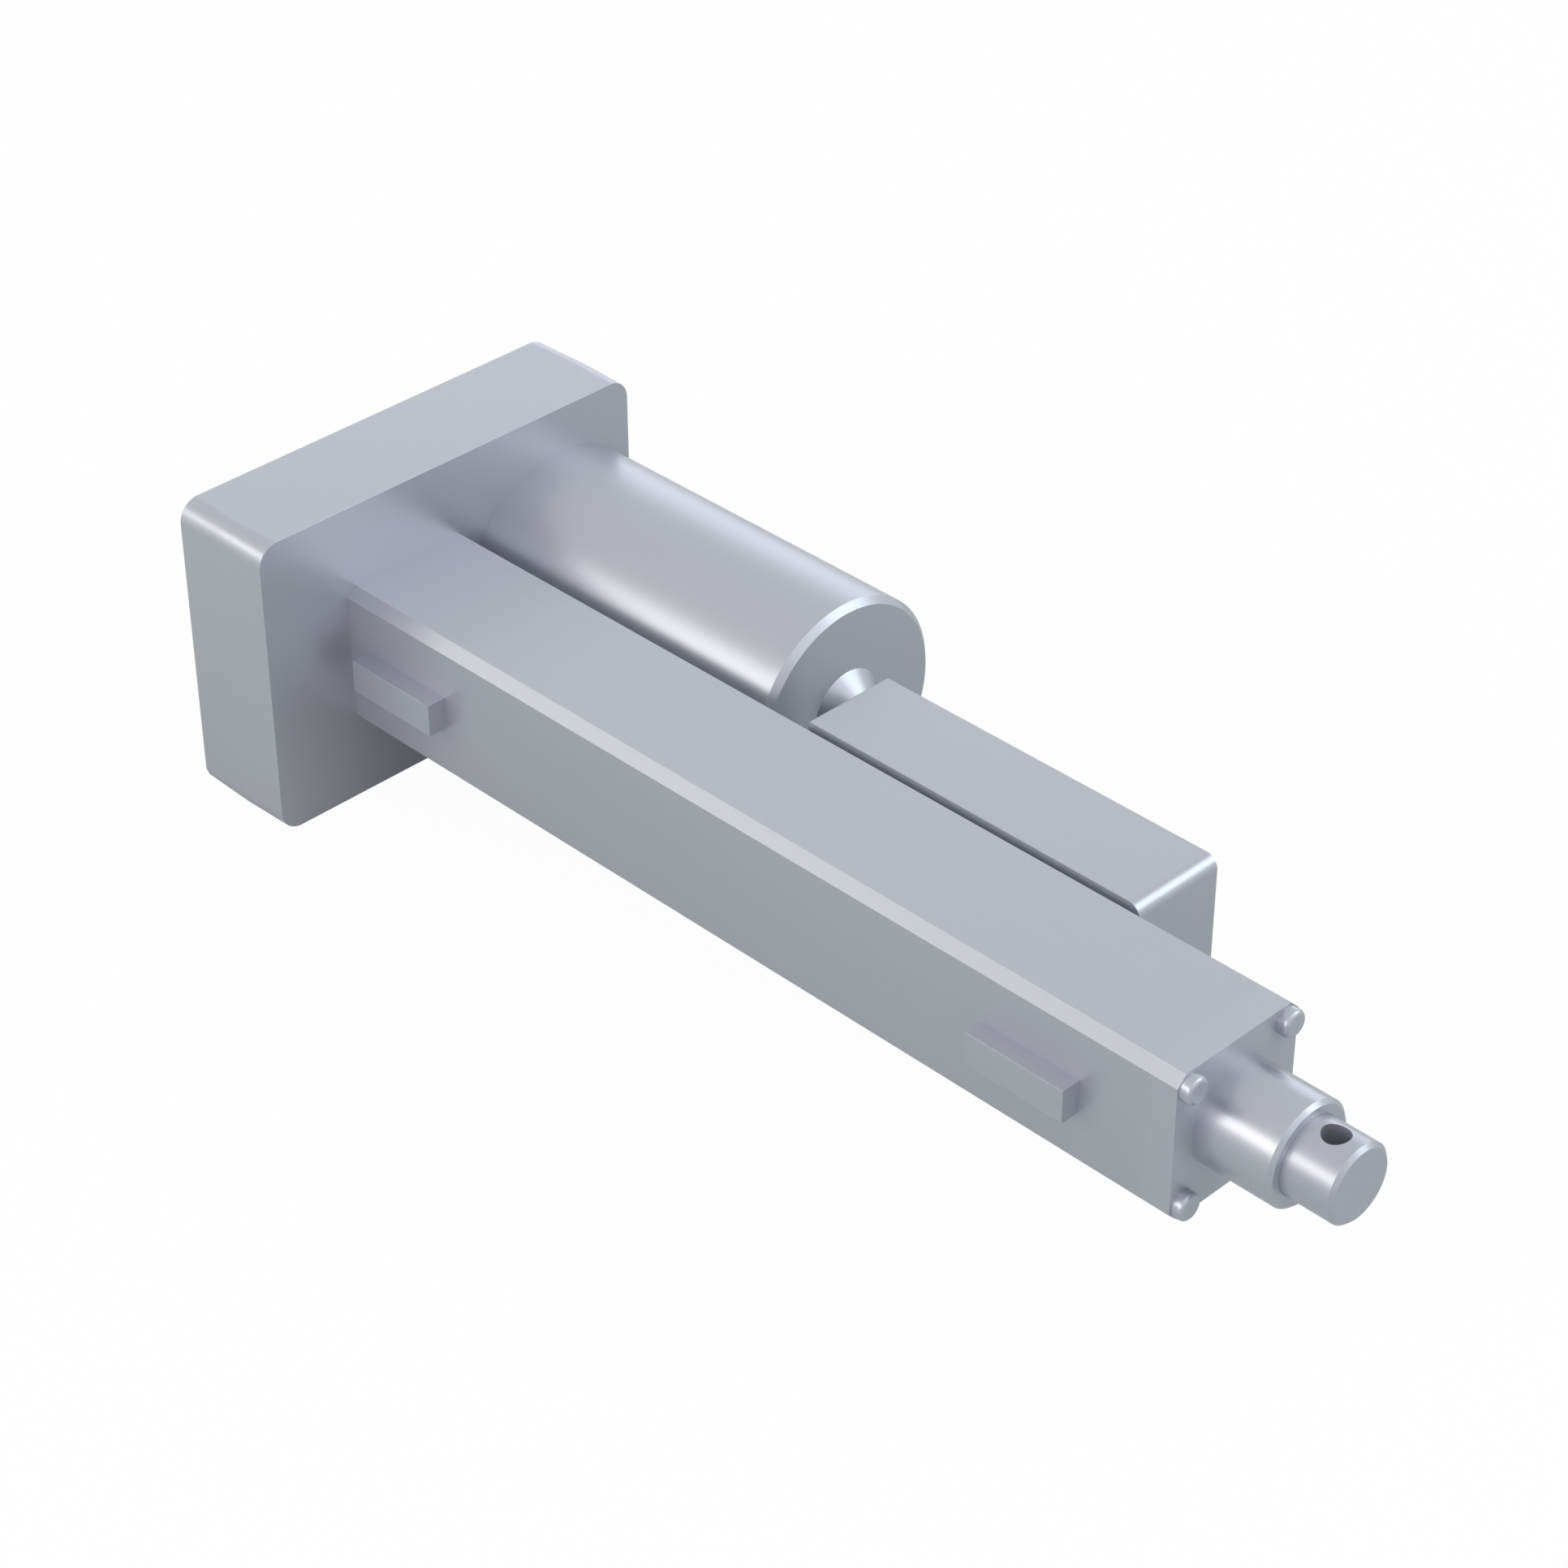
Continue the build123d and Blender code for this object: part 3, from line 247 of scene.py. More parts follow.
def outer_rim(place, low, high):
    """Test for the edges at an X place that lie on the outline between two corners in Y and Z."""

    def near(value, ends, reach):
        return min(abs(value - end) for end in ends) < reach

    def on_outline(point):
        sides, levels = (low[0], high[0]), (low[1], high[1])
        on_side = near(point[1], sides, slack)
        on_level = near(point[2], levels, slack)
        by_side = near(point[1], sides, case_corner_reach)
        by_level = near(point[2], levels, case_corner_reach)
        return abs(point[0] - place) < slack and (on_side or on_level or (by_side and by_level))

    return lambda one, other: on_outline(one) and on_outline(other)


def fit(piece, material, body, slot, *stands_for):
    """Paint a finished piece and join it to the body that it moves with."""
    piece.data.materials.clear()
    piece.data.materials.append(material)
    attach(piece, body)
    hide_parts(*stands_for)


def dress(material, *names):
    """Give a finish to parts that keep their CAD shape."""
    for name in names:
        nodes[name].data.materials.clear()
        nodes[name].data.materials.append(material)


satin_grey = (0.488, 0.490, 0.551)
satin_share = 0.62
satin_tone = 0.015
cast = metal_finish(
    "blasted_casting", satin_grey, tone=satin_tone, metallic=satin_share, roughness=0.37,
    grain=1800.0, stretch=(1, 1, 1), depth=0.00001, relief=0.15,
)
case_back, case_face = 20.5, 51.9
case_low, case_high = (-46.1, -42.0), (76.2, 42.8)
broken_edge = 0.15
case_front = casting_of("case_front", "gear_case_front")
bevel_edges(case_front, outer_rim(case_face, case_low, case_high), broken_edge)
shade(case_front)
fit(case_front, cast, "actuator_body", "cast_aluminium", "case_front")
case_rear = casting_of("case_rear", "gear_case_rear")
bevel_edges(case_rear, outer_rim(case_back, case_low, case_high), broken_edge)
shade(case_rear)
fit(case_rear, cast, "actuator_body", "cast_aluminium", "case_rear")


# Case seal
# A moulded ring of black rubber that follows the outline of the case. The screws press it in the
# parting as they draw the two halves together.
def speckled_finish(name, dark, light, metallic, roughness, spread, grain, depth, detail=2.0):
    """Plain finish: its colour runs from dark to light, and its roughness up, with a fine grain."""
    material, wires, place = start_material(name)
    specks = speckle(wires, place, grain, detail=detail)
    color = blend_colors(wires, specks, dark, light)
    worn = specks * spread + roughness
    surface = surface_finish(wires, color, metallic, worn, specks, depth)
    return end_material(material, surface)


rubber = speckled_finish(
    "black_seal_rubber", (0.018, 0.018, 0.02), (0.04, 0.04, 0.042),
    metallic=0.0, roughness=0.55, spread=0.2, grain=350.0, depth=0.00002,
)
dress(rubber, "case_seal")


# Case screws
# Six steel socket screws, turned and bright plated. Their heads are sunk in the rear half, and
# their threads run into the front half.
def place_in_mesh(name):
    """Name the new primitive, and move its place from the object into the mesh."""
    piece = bpy.context.object
    piece.name = name
    bpy.ops.object.transform_apply(location=True, rotation=True, scale=True)
    return piece


def bar(name, diameter, start, end, across, along="X", sides=48):
    """Round bar between two places on an axis, at its place on the other two, in millimetres."""
    turn = {"X": (0, math.pi / 2, 0), "Y": (math.pi / 2, 0, 0), "Z": (0, 0, 0)}[along]
    centre = list(across)
    centre.insert("XYZ".index(along), (start + end) / 2)
    bpy.ops.object.select_all(action="DESELECT")
    bpy.ops.mesh.primitive_cylinder_add(
        vertices=sides, radius=diameter / 2 * MM, depth=(end - start) * MM,
        location=[part * MM for part in centre], rotation=turn,
    )
    return place_in_mesh(name)


def cut_out(piece, cutter):
    """Take the cutter out of the piece, and remove the cutter."""
    settings = {"operation": "DIFFERENCE", "object": cutter, "solver": "EXACT"}
    apply_modifier(piece, "BOOLEAN", settings)
    bpy.data.objects.remove(cutter)


facing = 0.9


def end_face(axis, place, side):
    """Test for the flat face at a place on an axis, whose normal points to that side."""
    return lambda centre, normal: abs(centre[axis] - place) < slack and normal[axis] * side > facing


def end_rim(axis, place):
    """Test for the edges that lie at a place on an axis."""
    return lambda one, other: max(abs(one[axis] - place), abs(other[axis] - place)) < slack


def edit_faces(piece, test):
    """Open a piece in edit mode with those faces selected whose centre and normal pass a test."""
    pick_only(piece)
    mesh = piece.data
    for part in (*mesh.vertices, *mesh.edges):
        part.select = False
    for face in mesh.polygons:
        face.select = test(face.center / MM, face.normal)
    bpy.context.tool_settings.mesh_select_mode = (False, False, True)
    bpy.ops.object.mode_set(mode="EDIT")


def draw_out(piece, face_test, inset, reach, axis=0):
    """Inset a face, and draw its middle out or in along an axis."""
    edit_faces(piece, face_test)
    bpy.ops.mesh.inset(thickness=inset * MM)
    move = [0.0, 0.0, 0.0]
    move[axis] = reach * MM
    bpy.ops.mesh.extrude_region_move(TRANSFORM_OT_translate={"value": move})
    close_edit()


def copies_at(piece, name, moves):
    """The piece and its copies, each with its own mesh, moved by (y, z) in millimetres."""
    pieces = [piece]
    for number, (y, z) in enumerate(moves, 2):
        copy = piece.copy()
        copy.data = piece.data.copy()
        copy.name = f"{name}_{number}"
        copy.data.transform(Matrix.Translation((0.0, y * MM, z * MM)))
        bpy.context.scene.collection.objects.link(copy)
        pieces.append(copy)
    piece.name = f"{name}_1"
    return pieces


overshoot = 1.0
socket_thread = 5.0
socket_head, socket_head_height = 8.5, 5.0
socket_rim_round, socket_tip_chamfer = 0.4, 0.6


def socket_screw(name, seat, length, across):
    """Socket screw along X: a head with a broken rim and a hexagon in it, then the shank."""
    back = seat - socket_head_height
    screw = bar(name, socket_head, back, seat, across)
    bevel_edges(screw, end_rim(0, back), socket_rim_round)
    draw_out(screw, end_face(0, seat, 1), (socket_head - socket_thread) / 2, length)
    bevel_edges(screw, end_rim(0, seat + length), socket_tip_chamfer, faces=1)
    socket_start, socket_end = back - overshoot, back + socket_head_height / 2
    cut_out(screw, bar("hexagon", socket_head / 2, socket_start, socket_end, across, sides=6))
    shade(screw)
    return screw


plated = metal_finish(
    "bright_plating", satin_grey, tone=0.02, metallic=satin_share, roughness=0.34,
    grain=4000.0, stretch=(1, 1, 1), depth=0.000003,
)
case_screw_seat, case_screw_length = 25.5, 22.0
case_screw_columns = (-37.6, 22.0, 67.7)
case_screw_rows = (-33.5, 34.3)
case_screw_places = [(y, z) for y in case_screw_columns for z in case_screw_rows]
first = case_screw_places[0]
case_screw = socket_screw("case_screw", case_screw_seat, case_screw_length, first)
moves = [(y - first[0], z - first[1]) for y, z in case_screw_places[1:]]
for piece in copies_at(case_screw, "case_screw", moves):
    fit(piece, plated, "actuator_body", "screw_steel", "case_screws")


# Rear clevis
# An aluminium casting of the same finish: tang with the pin hole, square flange, and a spigot that
# seats the rear bearing. Four socket screws hold it to the case.
def other_corners(width, height):
    """Moves from the low corner of a rectangle in Y and Z to its other three corners."""
    return [(width, 0.0), (0.0, height), (width, height)]


dress(cast, "rear_clevis")

clevis_screw_seat, clevis_screw_length = 15.5, 10.9
clevis_screw_pitch = 35.0
first = (-clevis_screw_pitch / 2, -clevis_screw_pitch / 2)
clevis_screw = socket_screw("clevis_screw", clevis_screw_seat, clevis_screw_length, first)
moves = other_corners(clevis_screw_pitch, clevis_screw_pitch)
for piece in copies_at(clevis_screw, "clevis_screw", moves):
    fit(piece, plated, "actuator_body", "screw_steel", "clevis_screws")


# Lead screw, gears and bearings
# Cut and ground from steel, and left bright under a film of oil. They turn inside the case and
# the tube, and the tip of the lead screw runs in a black nylon guide.
oiled_steel = metal_finish(
    "oiled_steel", (0.46, 0.46, 0.45), tone=0.06, metallic=1.0, roughness=0.24,
    grain=1800.0, stretch=(1, 0.15, 0.15), depth=0.000004,
)
dress(
    oiled_steel, "lead_screw", "screw_gear", "screw_key", "gear_spacer", "lock_nut", "idler_gear",
    "idler_pin", "motor_pinion", "motor_shaft", "brush_springs",
)
ground_race = metal_finish(
    "ground_race", (0.60, 0.60, 0.61), tone=0.03, metallic=1.0, roughness=0.12,
    grain=2600.0, stretch=(0.2, 1, 1), depth=0.000002,
)
for bearing in ("front_bearing", "rear_bearing", "motor_bearing"):
    dress(ground_race, f"{bearing}_inner_ring", f"{bearing}_outer_ring", f"{bearing}_balls")

nylon = speckled_finish(
    "black_nylon", (0.028, 0.029, 0.031), (0.05, 0.051, 0.053),
    metallic=0.0, roughness=0.42, spread=0.15, grain=900.0, depth=0.00002,
)
dress(nylon, "screw_tip_guide", "brush_card", "relays")


# Tube
# Square aluminium extrusion with a round bore, two key grooves and a screw port in each corner,
# satin anodised. It stands against the case, and four screws from inside the case hold it there.
def block(name, low, high):
    """Rectangular block between two corners, in millimetres."""
    bpy.ops.object.select_all(action="DESELECT")
    bpy.ops.mesh.primitive_cube_add(
        size=1.0, location=[(start + end) / 2 * MM for start, end in zip(low, high)],
        scale=[(end - start) * MM for start, end in zip(low, high)],
    )
    return place_in_mesh(name)


def runs_along(axis):
    """Test for the edges that run along an axis."""
    others = [other for other in range(3) if other != axis]
    return lambda one, other: all(abs(one[part] - other[part]) < slack for part in others)


tube_start, tube_end = 51.9, 317.0
tube_half_width, tube_half_height = 20.0, 20.2
tube_chamfer = 2.7
tube_bore = 30.0
key_groove_width, key_groove_span = 5.0, 33.0
port_y, port_z = 16.05, 16.15
port_diameter = 4.0
port_places = [(y, z) for y in (-port_y, port_y) for z in (-port_z, port_z)]
box_screw_places = (199.0, 255.6)
box_screw_diameter, box_screw_depth = 4.0, 4.0


def tube_section(name, start, end):
    """Block with the tube's chamfered section, between two places along it."""
    low = (start, -tube_half_width, -tube_half_height)
    piece = block(name, low, (end, tube_half_width, tube_half_height))
    bevel_edges(piece, runs_along(0), tube_chamfer, faces=1)
    return piece


tube = tube_section("tube_extrusion", tube_start, tube_end)
cut_start, cut_end = tube_start - overshoot, tube_end + overshoot
cut_out(tube, bar("bore", tube_bore, cut_start, cut_end, (0.0, 0.0), sides=96))
groove_half, span_half = key_groove_width / 2, key_groove_span / 2
groove_low, groove_high = (cut_start, -groove_half, -span_half), (cut_end, groove_half, span_half)
cut_out(tube, block("key_grooves", groove_low, groove_high))
for across in port_places:
    cut_out(tube, bar("port", port_diameter, cut_start, cut_end, across, sides=32))
hole_bottom, hole_top = tube_half_width - box_screw_depth, tube_half_width + overshoot
for x in box_screw_places:
    across = (x, 0.0)
    cut_out(tube, bar("box_hole", box_screw_diameter, hole_bottom, hole_top, across, "Y", sides=32))
shade(tube)
anodised = metal_finish(
    "satin_anodising", satin_grey, tone=satin_tone, metallic=satin_share, roughness=0.34,
    grain=2500.0, stretch=(0.02, 1, 1), depth=0.000006,
)
fit(tube, anodised, "actuator_body", "anodised_aluminium", "tube")
dress(plated, "tube_screws")


# Drive nut and rod
# A bronze nut with a ferrite magnet ring behind it drives the rod, held by two grub screws. The rod
# is ground steel tube with a solid end, which is drilled across for the pin and chamfered.
bronze = metal_finish(
    "bearing_bronze", (0.62, 0.42, 0.20), tone=0.06, metallic=1.0, roughness=0.30,
    grain=1200.0, stretch=(1, 0.2, 0.2), depth=0.000005,
)
dress(bronze, "drive_nut")
dress(plated, "nut_grub_screws")
ferrite = speckled_finish(
    "dark_ferrite", (0.035, 0.036, 0.038), (0.085, 0.086, 0.09),
    metallic=0.0, roughness=0.5, spread=0.2, grain=1600.0, depth=0.00003, detail=4.0,
)
dress(ferrite, "magnet_ring")

rod_start, rod_end = 81.9, 359.7
rod_diameter, rod_bore = 20.0, 14.0
rod_solid_end = 17.5
rod_chamfer = 1.0
pin_hole_diameter, pin_inset = 6.8, 7.4
grub_screw_place, grub_screw_diameter = 88.9, 4.0
rod = bar("rod_bar", rod_diameter, rod_start, rod_end, (0.0, 0.0), sides=128)
bevel_edges(rod, end_rim(0, rod_end), rod_chamfer, faces=1)
rod_wall, bore_depth = (rod_diameter - rod_bore) / 2, rod_end - rod_solid_end - rod_start
draw_out(rod, end_face(0, rod_start, -1), rod_wall, bore_depth)
for name, diameter, x, sides in (
    ("pin_hole", pin_hole_diameter, rod_end - pin_inset, 96),
    ("grub_hole", grub_screw_diameter, grub_screw_place, 32),
):
    cut_out(rod, bar(name, diameter, -rod_diameter, rod_diameter, (x, 0.0), "Z", sides))
shade(rod)
rod_grey = (0.470, 0.469, 0.532)
ground = metal_finish(
    "ground_rod", rod_grey, tone=satin_tone, metallic=satin_share, roughness=0.345,
    grain=5000.0, stretch=(1, 0.05, 0.05), depth=0.000003, relief=0.04,
)
fit(rod, ground, "rod_assembly", "rod_steel", "rod")


# Front cap
# Turned and milled from the same aluminium, with the section of the tube and a long collar. The
# bronze bush and the rubber wiper sit in it, and a rubber ring behind it stops the nut softly.
def join_on(piece, addition):
    """Join another piece onto this one, as one solid."""
    apply_modifier(piece, "BOOLEAN", {"operation": "UNION", "object": addition, "solver": "EXACT"})
    bpy.data.objects.remove(addition)


cap_face, collar_end = 325.0, 345.9
cap_spigot_start, cap_spigot_diameter = 312.0, 29.8
collar_diameter, collar_chamfer = 26.6, 1.0
root_depth = 4.0
bush_seat, bush_end = 23.3, 340.5
wiper_seat, wiper_end = 24.0, 344.5
seat_overlap = 0.1
lip_bore = 20.1
cap_screw_clearance = 4.5
cap = tube_section("cap_and_collar", tube_end, cap_face)
collar = bar("collar", collar_diameter, cap_face - root_depth, collar_end, (0.0, 0.0), sides=128)
bevel_edges(collar, end_rim(0, collar_end), collar_chamfer, faces=1)
join_on(cap, collar)
spigot_root = tube_end + root_depth
spigot = bar("spigot", cap_spigot_diameter, cap_spigot_start, spigot_root, (0.0, 0.0), sides=96)
join_on(cap, spigot)
for name, diameter, start, end in (
    ("lip", lip_bore, cap_spigot_start - overshoot, collar_end + overshoot),
    ("bush", bush_seat, cap_spigot_start - overshoot, bush_end),
    ("wiper", wiper_seat, bush_end - seat_overlap, wiper_end),
):
    cut_out(cap, bar(name, diameter, start, end, (0.0, 0.0), sides=96))
cut_start, cut_end = tube_end - overshoot, cap_face + overshoot
for across in port_places:
    cut_out(cap, bar("cap_hole", cap_screw_clearance, cut_start, cut_end, across, sides=32))
shade(cap)

milled_roughness, turned_roughness = 0.42, 0.28
turned_limit, milled_limit = 1.01, 1.03
material, wires, place = start_material("turned_collar")
flattened = {0: place, 1: (0, 1, 1)}
across = wires.node("ShaderNodeVectorMath", {"operation": "MULTIPLY"}, flattened, "Vector")
from_axis = wires.node("ShaderNodeVectorMath", {"operation": "LENGTH"}, {0: across}, "Value")
collar_edge = collar_diameter / 2 * MM
limits = {"From Min": collar_edge * turned_limit, "From Max": collar_edge * milled_limit}
beyond = wires.node("ShaderNodeMapRange", {"clamp": True}, {"Value": from_axis, **limits})
fine = speckle(wires, place, scale=3500.0, stretch=(1, 0.1, 0.1))
base = blend_colors(wires, fine, *shades(satin_grey, satin_tone))
roughness = beyond * (milled_roughness - turned_roughness) + turned_roughness
turned_surface = surface_finish(
    wires, base, satin_share, roughness, height=fine, depth=0.000004, relief=0.08
)
turned = end_material(material, turned_surface)
fit(cap, turned, "actuator_body", "anodised_aluminium", "front_cap")
dress(bronze, "guide_bush")
dress(rubber, "wiper_ring", "end_bumper")


# Front screws
# Four steel screws with low round heads, their rims rounded in the turning. They go through the cap
# into the screw ports of the tube.
front_head_diameter, front_head_height, front_head_round = 7.0, 2.9, 1.2
front_screw_thread, front_screw_length = 4.0, 18.0
front_head_top = cap_face + front_head_height
first = (-port_y, -port_z)
front_screw = bar("front_screw", front_head_diameter, cap_face, front_head_top, first, sides=64)
bevel_edges(front_screw, end_rim(0, front_head_top), front_head_round, faces=8)
shoulder = (front_head_diameter - front_screw_thread) / 2
draw_out(front_screw, end_face(0, cap_face, -1), shoulder, -front_screw_length)
shade(front_screw)
for piece in copies_at(front_screw, "front_screw", other_corners(2 * port_y, 2 * port_z)):
    fit(piece, plated, "actuator_body", "screw_steel", "front_screws")


# Motor can
# Deep drawn from steel sheet and plated satin: open at the gear case, closed at the far end by a
# chamfered wall with a conical boss for the rear bush.
motor_y, motor_z = 50.8, 0.8
can_start, can_end = 51.9, 157.9
can_diameter = 59.6
can_wall, can_end_wall = 2.0, 4.0
can_chamfer = 1.7
boss_base, boss_height = 22.0, 4.5
bush_pocket, bush_pocket_end = 11.0, 159.3
can = bar("motor_can_drawing", can_diameter, can_start, can_end, (motor_y, motor_z), sides=160)
bevel_edges(can, end_rim(0, can_end), can_chamfer, faces=1)
draw_out(can, end_face(0, can_end, 1), can_diameter / 2 - can_chamfer - boss_base / 2, boss_height)
# The sides of the boss slope at 45 degrees.
boss_end = can_end + boss_height
edit_faces(can, end_face(0, boss_end, 1))
narrowing = 1 - 2 * boss_height / boss_base
boss_centre = [part * MM for part in (boss_end, motor_y, motor_z)]
bpy.ops.transform.resize(value=(1.0, narrowing, narrowing), center_override=boss_centre)
close_edit()
inner_end = can_end - can_end_wall
draw_out(can, end_face(0, can_start, -1), can_wall, inner_end - can_start)
pocket_inset = can_diameter / 2 - can_wall - bush_pocket / 2
draw_out(can, end_face(0, inner_end, -1), pocket_inset, bush_pocket_end - inner_end)
shade(can)
can_plating = metal_finish(
    "satin_plating", satin_grey, tone=satin_tone, metallic=satin_share, roughness=0.33,
    grain=2500.0, stretch=(0.3, 1, 1), depth=0.000006,
)
fit(can, can_plating, "actuator_body", "motor_steel", "motor_can")
dress(cast, "motor_end_plate")
dress(plated, "motor_screws")
dress(bronze, "motor_rear_bush")


# Motor windings and brushes
# Twelve coils of lacquered copper wire in the slots of a stacked iron core, ferrite magnets round
# it, and carbon brushes on a moulded card that rub on the copper commutator.
def bands(wires, place, axis, scale, distortion):
    """Even bands from 0 to 1 across an axis, as stacked sheets and wound wire show them."""
    sockets = {"Vector": place, "Scale": scale, "Distortion": distortion}
    return wires.node("ShaderNodeTexWave", {"bands_direction": axis}, sockets, "Fac")


dress(ferrite, "motor_magnets")
material, wires, place = start_material("stacked_core_iron")
sheets = bands(wires, place, "X", scale=320.0, distortion=0.0)
iron_color = blend_colors(wires, sheets, (0.10, 0.10, 0.105), (0.30, 0.30, 0.31))
iron_surface = surface_finish(
    wires, iron_color, metallic=0.9, roughness=sheets * 0.1 + 0.4, height=sheets, depth=0.00004
)
dress(end_material(material, iron_surface), "armature_core")
material, wires, place = start_material("lacquered_wire")
turns = bands(wires, place, "Y", scale=260.0, distortion=1.5)
wire_color = blend_colors(wires, turns, (0.30, 0.085, 0.025), (0.74, 0.30, 0.12))
wire_surface = surface_finish(
    wires, wire_color, metallic=0.85, roughness=0.26, height=turns, depth=0.0002, relief=0.8
)
dress(end_material(material, wire_surface), "armature_windings")
copper = metal_finish(
    "turned_copper", (0.75, 0.36, 0.22), tone=0.08, metallic=1.0, roughness=0.28,
    grain=2200.0, stretch=(1, 0.1, 0.1), depth=0.000005,
)
dress(copper, "commutator")
carbon = speckled_finish(
    "pressed_carbon", (0.03, 0.03, 0.032), (0.10, 0.10, 0.11),
    metallic=0.25, roughness=0.45, spread=0.2, grain=2200.0, depth=0.00003, detail=4.0,
)
dress(carbon, "brushes")


# Side box
# Folded and welded from aluminium sheet, with a bend at its front edges and anodised with the tube.
# A lid let into its outer side is held by four slotted screws, and two screws hold it to the tube.
side_box = casting_of("side_box", "side_box_shell")
shade(side_box)
fit(side_box, anodised, "actuator_body", "box_aluminium", "side_box")

lid_low, lid_high = (177.1, 44.7, -18.1), (277.5, 46.7, 18.1)
lid_front_round = 1.5
lid_screw_columns = (180.5, 274.1)
lid_screw_rows = (-14.7, 14.7)
lid_screw_places = [(x, z) for x in lid_screw_columns for z in lid_screw_rows]
lid_screw_thread, lid_screw_head, lid_screw_head_height = 3.0, 5.5, 1.0
lid_screw_tip = 35.7
slot_width, slot_depth = 0.8, 0.5
lid_top = lid_high[1]
lid_seat = lid_top - lid_screw_head_height
hole_bottom, hole_top = lid_low[1] - overshoot, lid_top + overshoot


def lid_front_corner(one, other):
    """Test for the edges through the sheet at the two front corners of the lid."""
    return runs_along(1)(one, other) and one[0] > lid_high[0] - slack


lid = block("side_box_cover", lid_low, lid_high)
bevel_edges(lid, lid_front_corner, lid_front_round, faces=8)
for across in lid_screw_places:
    cut_out(lid, bar("lid_hole", lid_screw_thread, hole_bottom, hole_top, across, "Y", sides=32))
    cut_out(lid, bar("lid_sink", lid_screw_head, lid_seat, hole_top, across, "Y", sides=48))
shade(lid)
fit(lid, anodised, "actuator_body", "box_aluminium", "side_box_lid")

shoulder = (lid_screw_head - lid_screw_thread) / 2
for number, (x, z) in enumerate(lid_screw_places, 1):
    screw = bar(f"lid_screw_{number}", lid_screw_head, lid_seat, lid_top, (x, z), "Y")
    draw_out(screw, end_face(1, lid_seat, -1), shoulder, lid_screw_tip - lid_seat, axis=1)
    low = (x - lid_screw_head, lid_top - slot_depth, z - slot_width / 2)
    high = (x + lid_screw_head, lid_top + overshoot, z + slot_width / 2)
    cut_out(screw, block("slot", low, high))
    shade(screw)
    fit(screw, plated, "actuator_body", "screw_steel", "lid_screws")
dress(plated, "box_screws")


# Control board
# Glass fibre board with green solder resist, two relays that reverse the motor, a terminal block
# moulded in nylon and a filter capacitor in a sleeved aluminium can.
cell_scale, track_gap = 260.0, 0.09
material, wires, place = start_material("green_board")
cell_settings = {"feature": "DISTANCE_TO_EDGE"}
cell_sockets = {"Vector": place, "Scale": cell_scale}
cells = wires.node("ShaderNodeTexVoronoi", cell_settings, cell_sockets, "Distance")
tracks = wires.math("GREATER_THAN", cells, track_gap)
board_color = blend_colors(wires, tracks, (0.006, 0.07, 0.03), (0.015, 0.13, 0.055))
board_surface = surface_finish(
    wires, board_color, metallic=0.0, roughness=0.3, height=tracks, depth=0.00003
)
dress(end_material(material, board_surface), "control_board")

green_nylon = speckled_finish(
    "green_nylon", (0.02, 0.16, 0.07), (0.03, 0.22, 0.10),
    metallic=0.0, roughness=0.38, spread=0.15, grain=900.0, depth=0.00002,
)
dress(green_nylon, "terminal_block")

sleeve_end = 41.4
material, wires, place = start_material("capacitor_sleeve")
outward = wires.node("ShaderNodeSeparateXYZ", {}, {0: place}, "Y")
bare_top = wires.math("GREATER_THAN", outward, sleeve_end * MM)
scuffs = speckle(wires, place, scale=700.0)
sleeve_color = blend_colors(wires, scuffs, (0.012, 0.014, 0.03), (0.02, 0.024, 0.045))
can_color = blend_colors(wires, bare_top, sleeve_color, (0.62, 0.63, 0.65))
capacitor_surface = surface_finish(
    wires, can_color, metallic=bare_top * 0.9, roughness=scuffs * 0.1 + 0.3, height=scuffs,
    depth=0.00001,
)
dress(end_material(material, capacitor_surface), "filter_capacitor")


# Position sensors
# Two reed sensor bars in metal housings, bonded to the side of the tube where the magnet ring
# passes them at each end of its travel.
sensor_starts = {"rear_sensor": 58.9, "front_sensor": 269.0}
sensor_out, sensor_half_height = -25.4, 4.5
sensor_length = 29.1
sensor_edge = 0.08
sensor_finish = metal_finish(
    "sensor_housing", satin_grey, tone=satin_tone, metallic=satin_share, roughness=0.36,
    grain=2200.0, stretch=(1, 1, 1), depth=0.000006,
)
for name, start in sensor_starts.items():
    low = (start, sensor_out, -sensor_half_height)
    high = (start + sensor_length, -tube_half_width, sensor_half_height)
    sensor = block(f"{name}_bar", low, high)
    bevel_edges(sensor, lambda one, other: min(one[1], other[1]) < sensor_out + slack, sensor_edge)
    shade(sensor)
    fit(sensor, sensor_finish, "actuator_body", "sensor_metal", name)


# Floor and light
# A pale floor under the case, whose white glow in mirrored rays fades out near the object into a
# painted shade, and an even sky. Five white soft boxes shine from behind, from the right, the left
# and the front, and from low on the left.
def seen_white(wires, seen_share, mirrored_share):
    """One share for rays from the camera or through glass, another for mirrored rays, else 0."""
    seen = wires.node("ShaderNodeLightPath", {}, {}, "Is Camera Ray")
    mirrored = wires.node("ShaderNodeLightPath", {}, {}, "Is Glossy Ray")
    passed = wires.node("ShaderNodeLightPath", {}, {}, "Is Transmission Ray")
    return wires.math("MAXIMUM", seen, passed) * seen_share + mirrored * mirrored_share


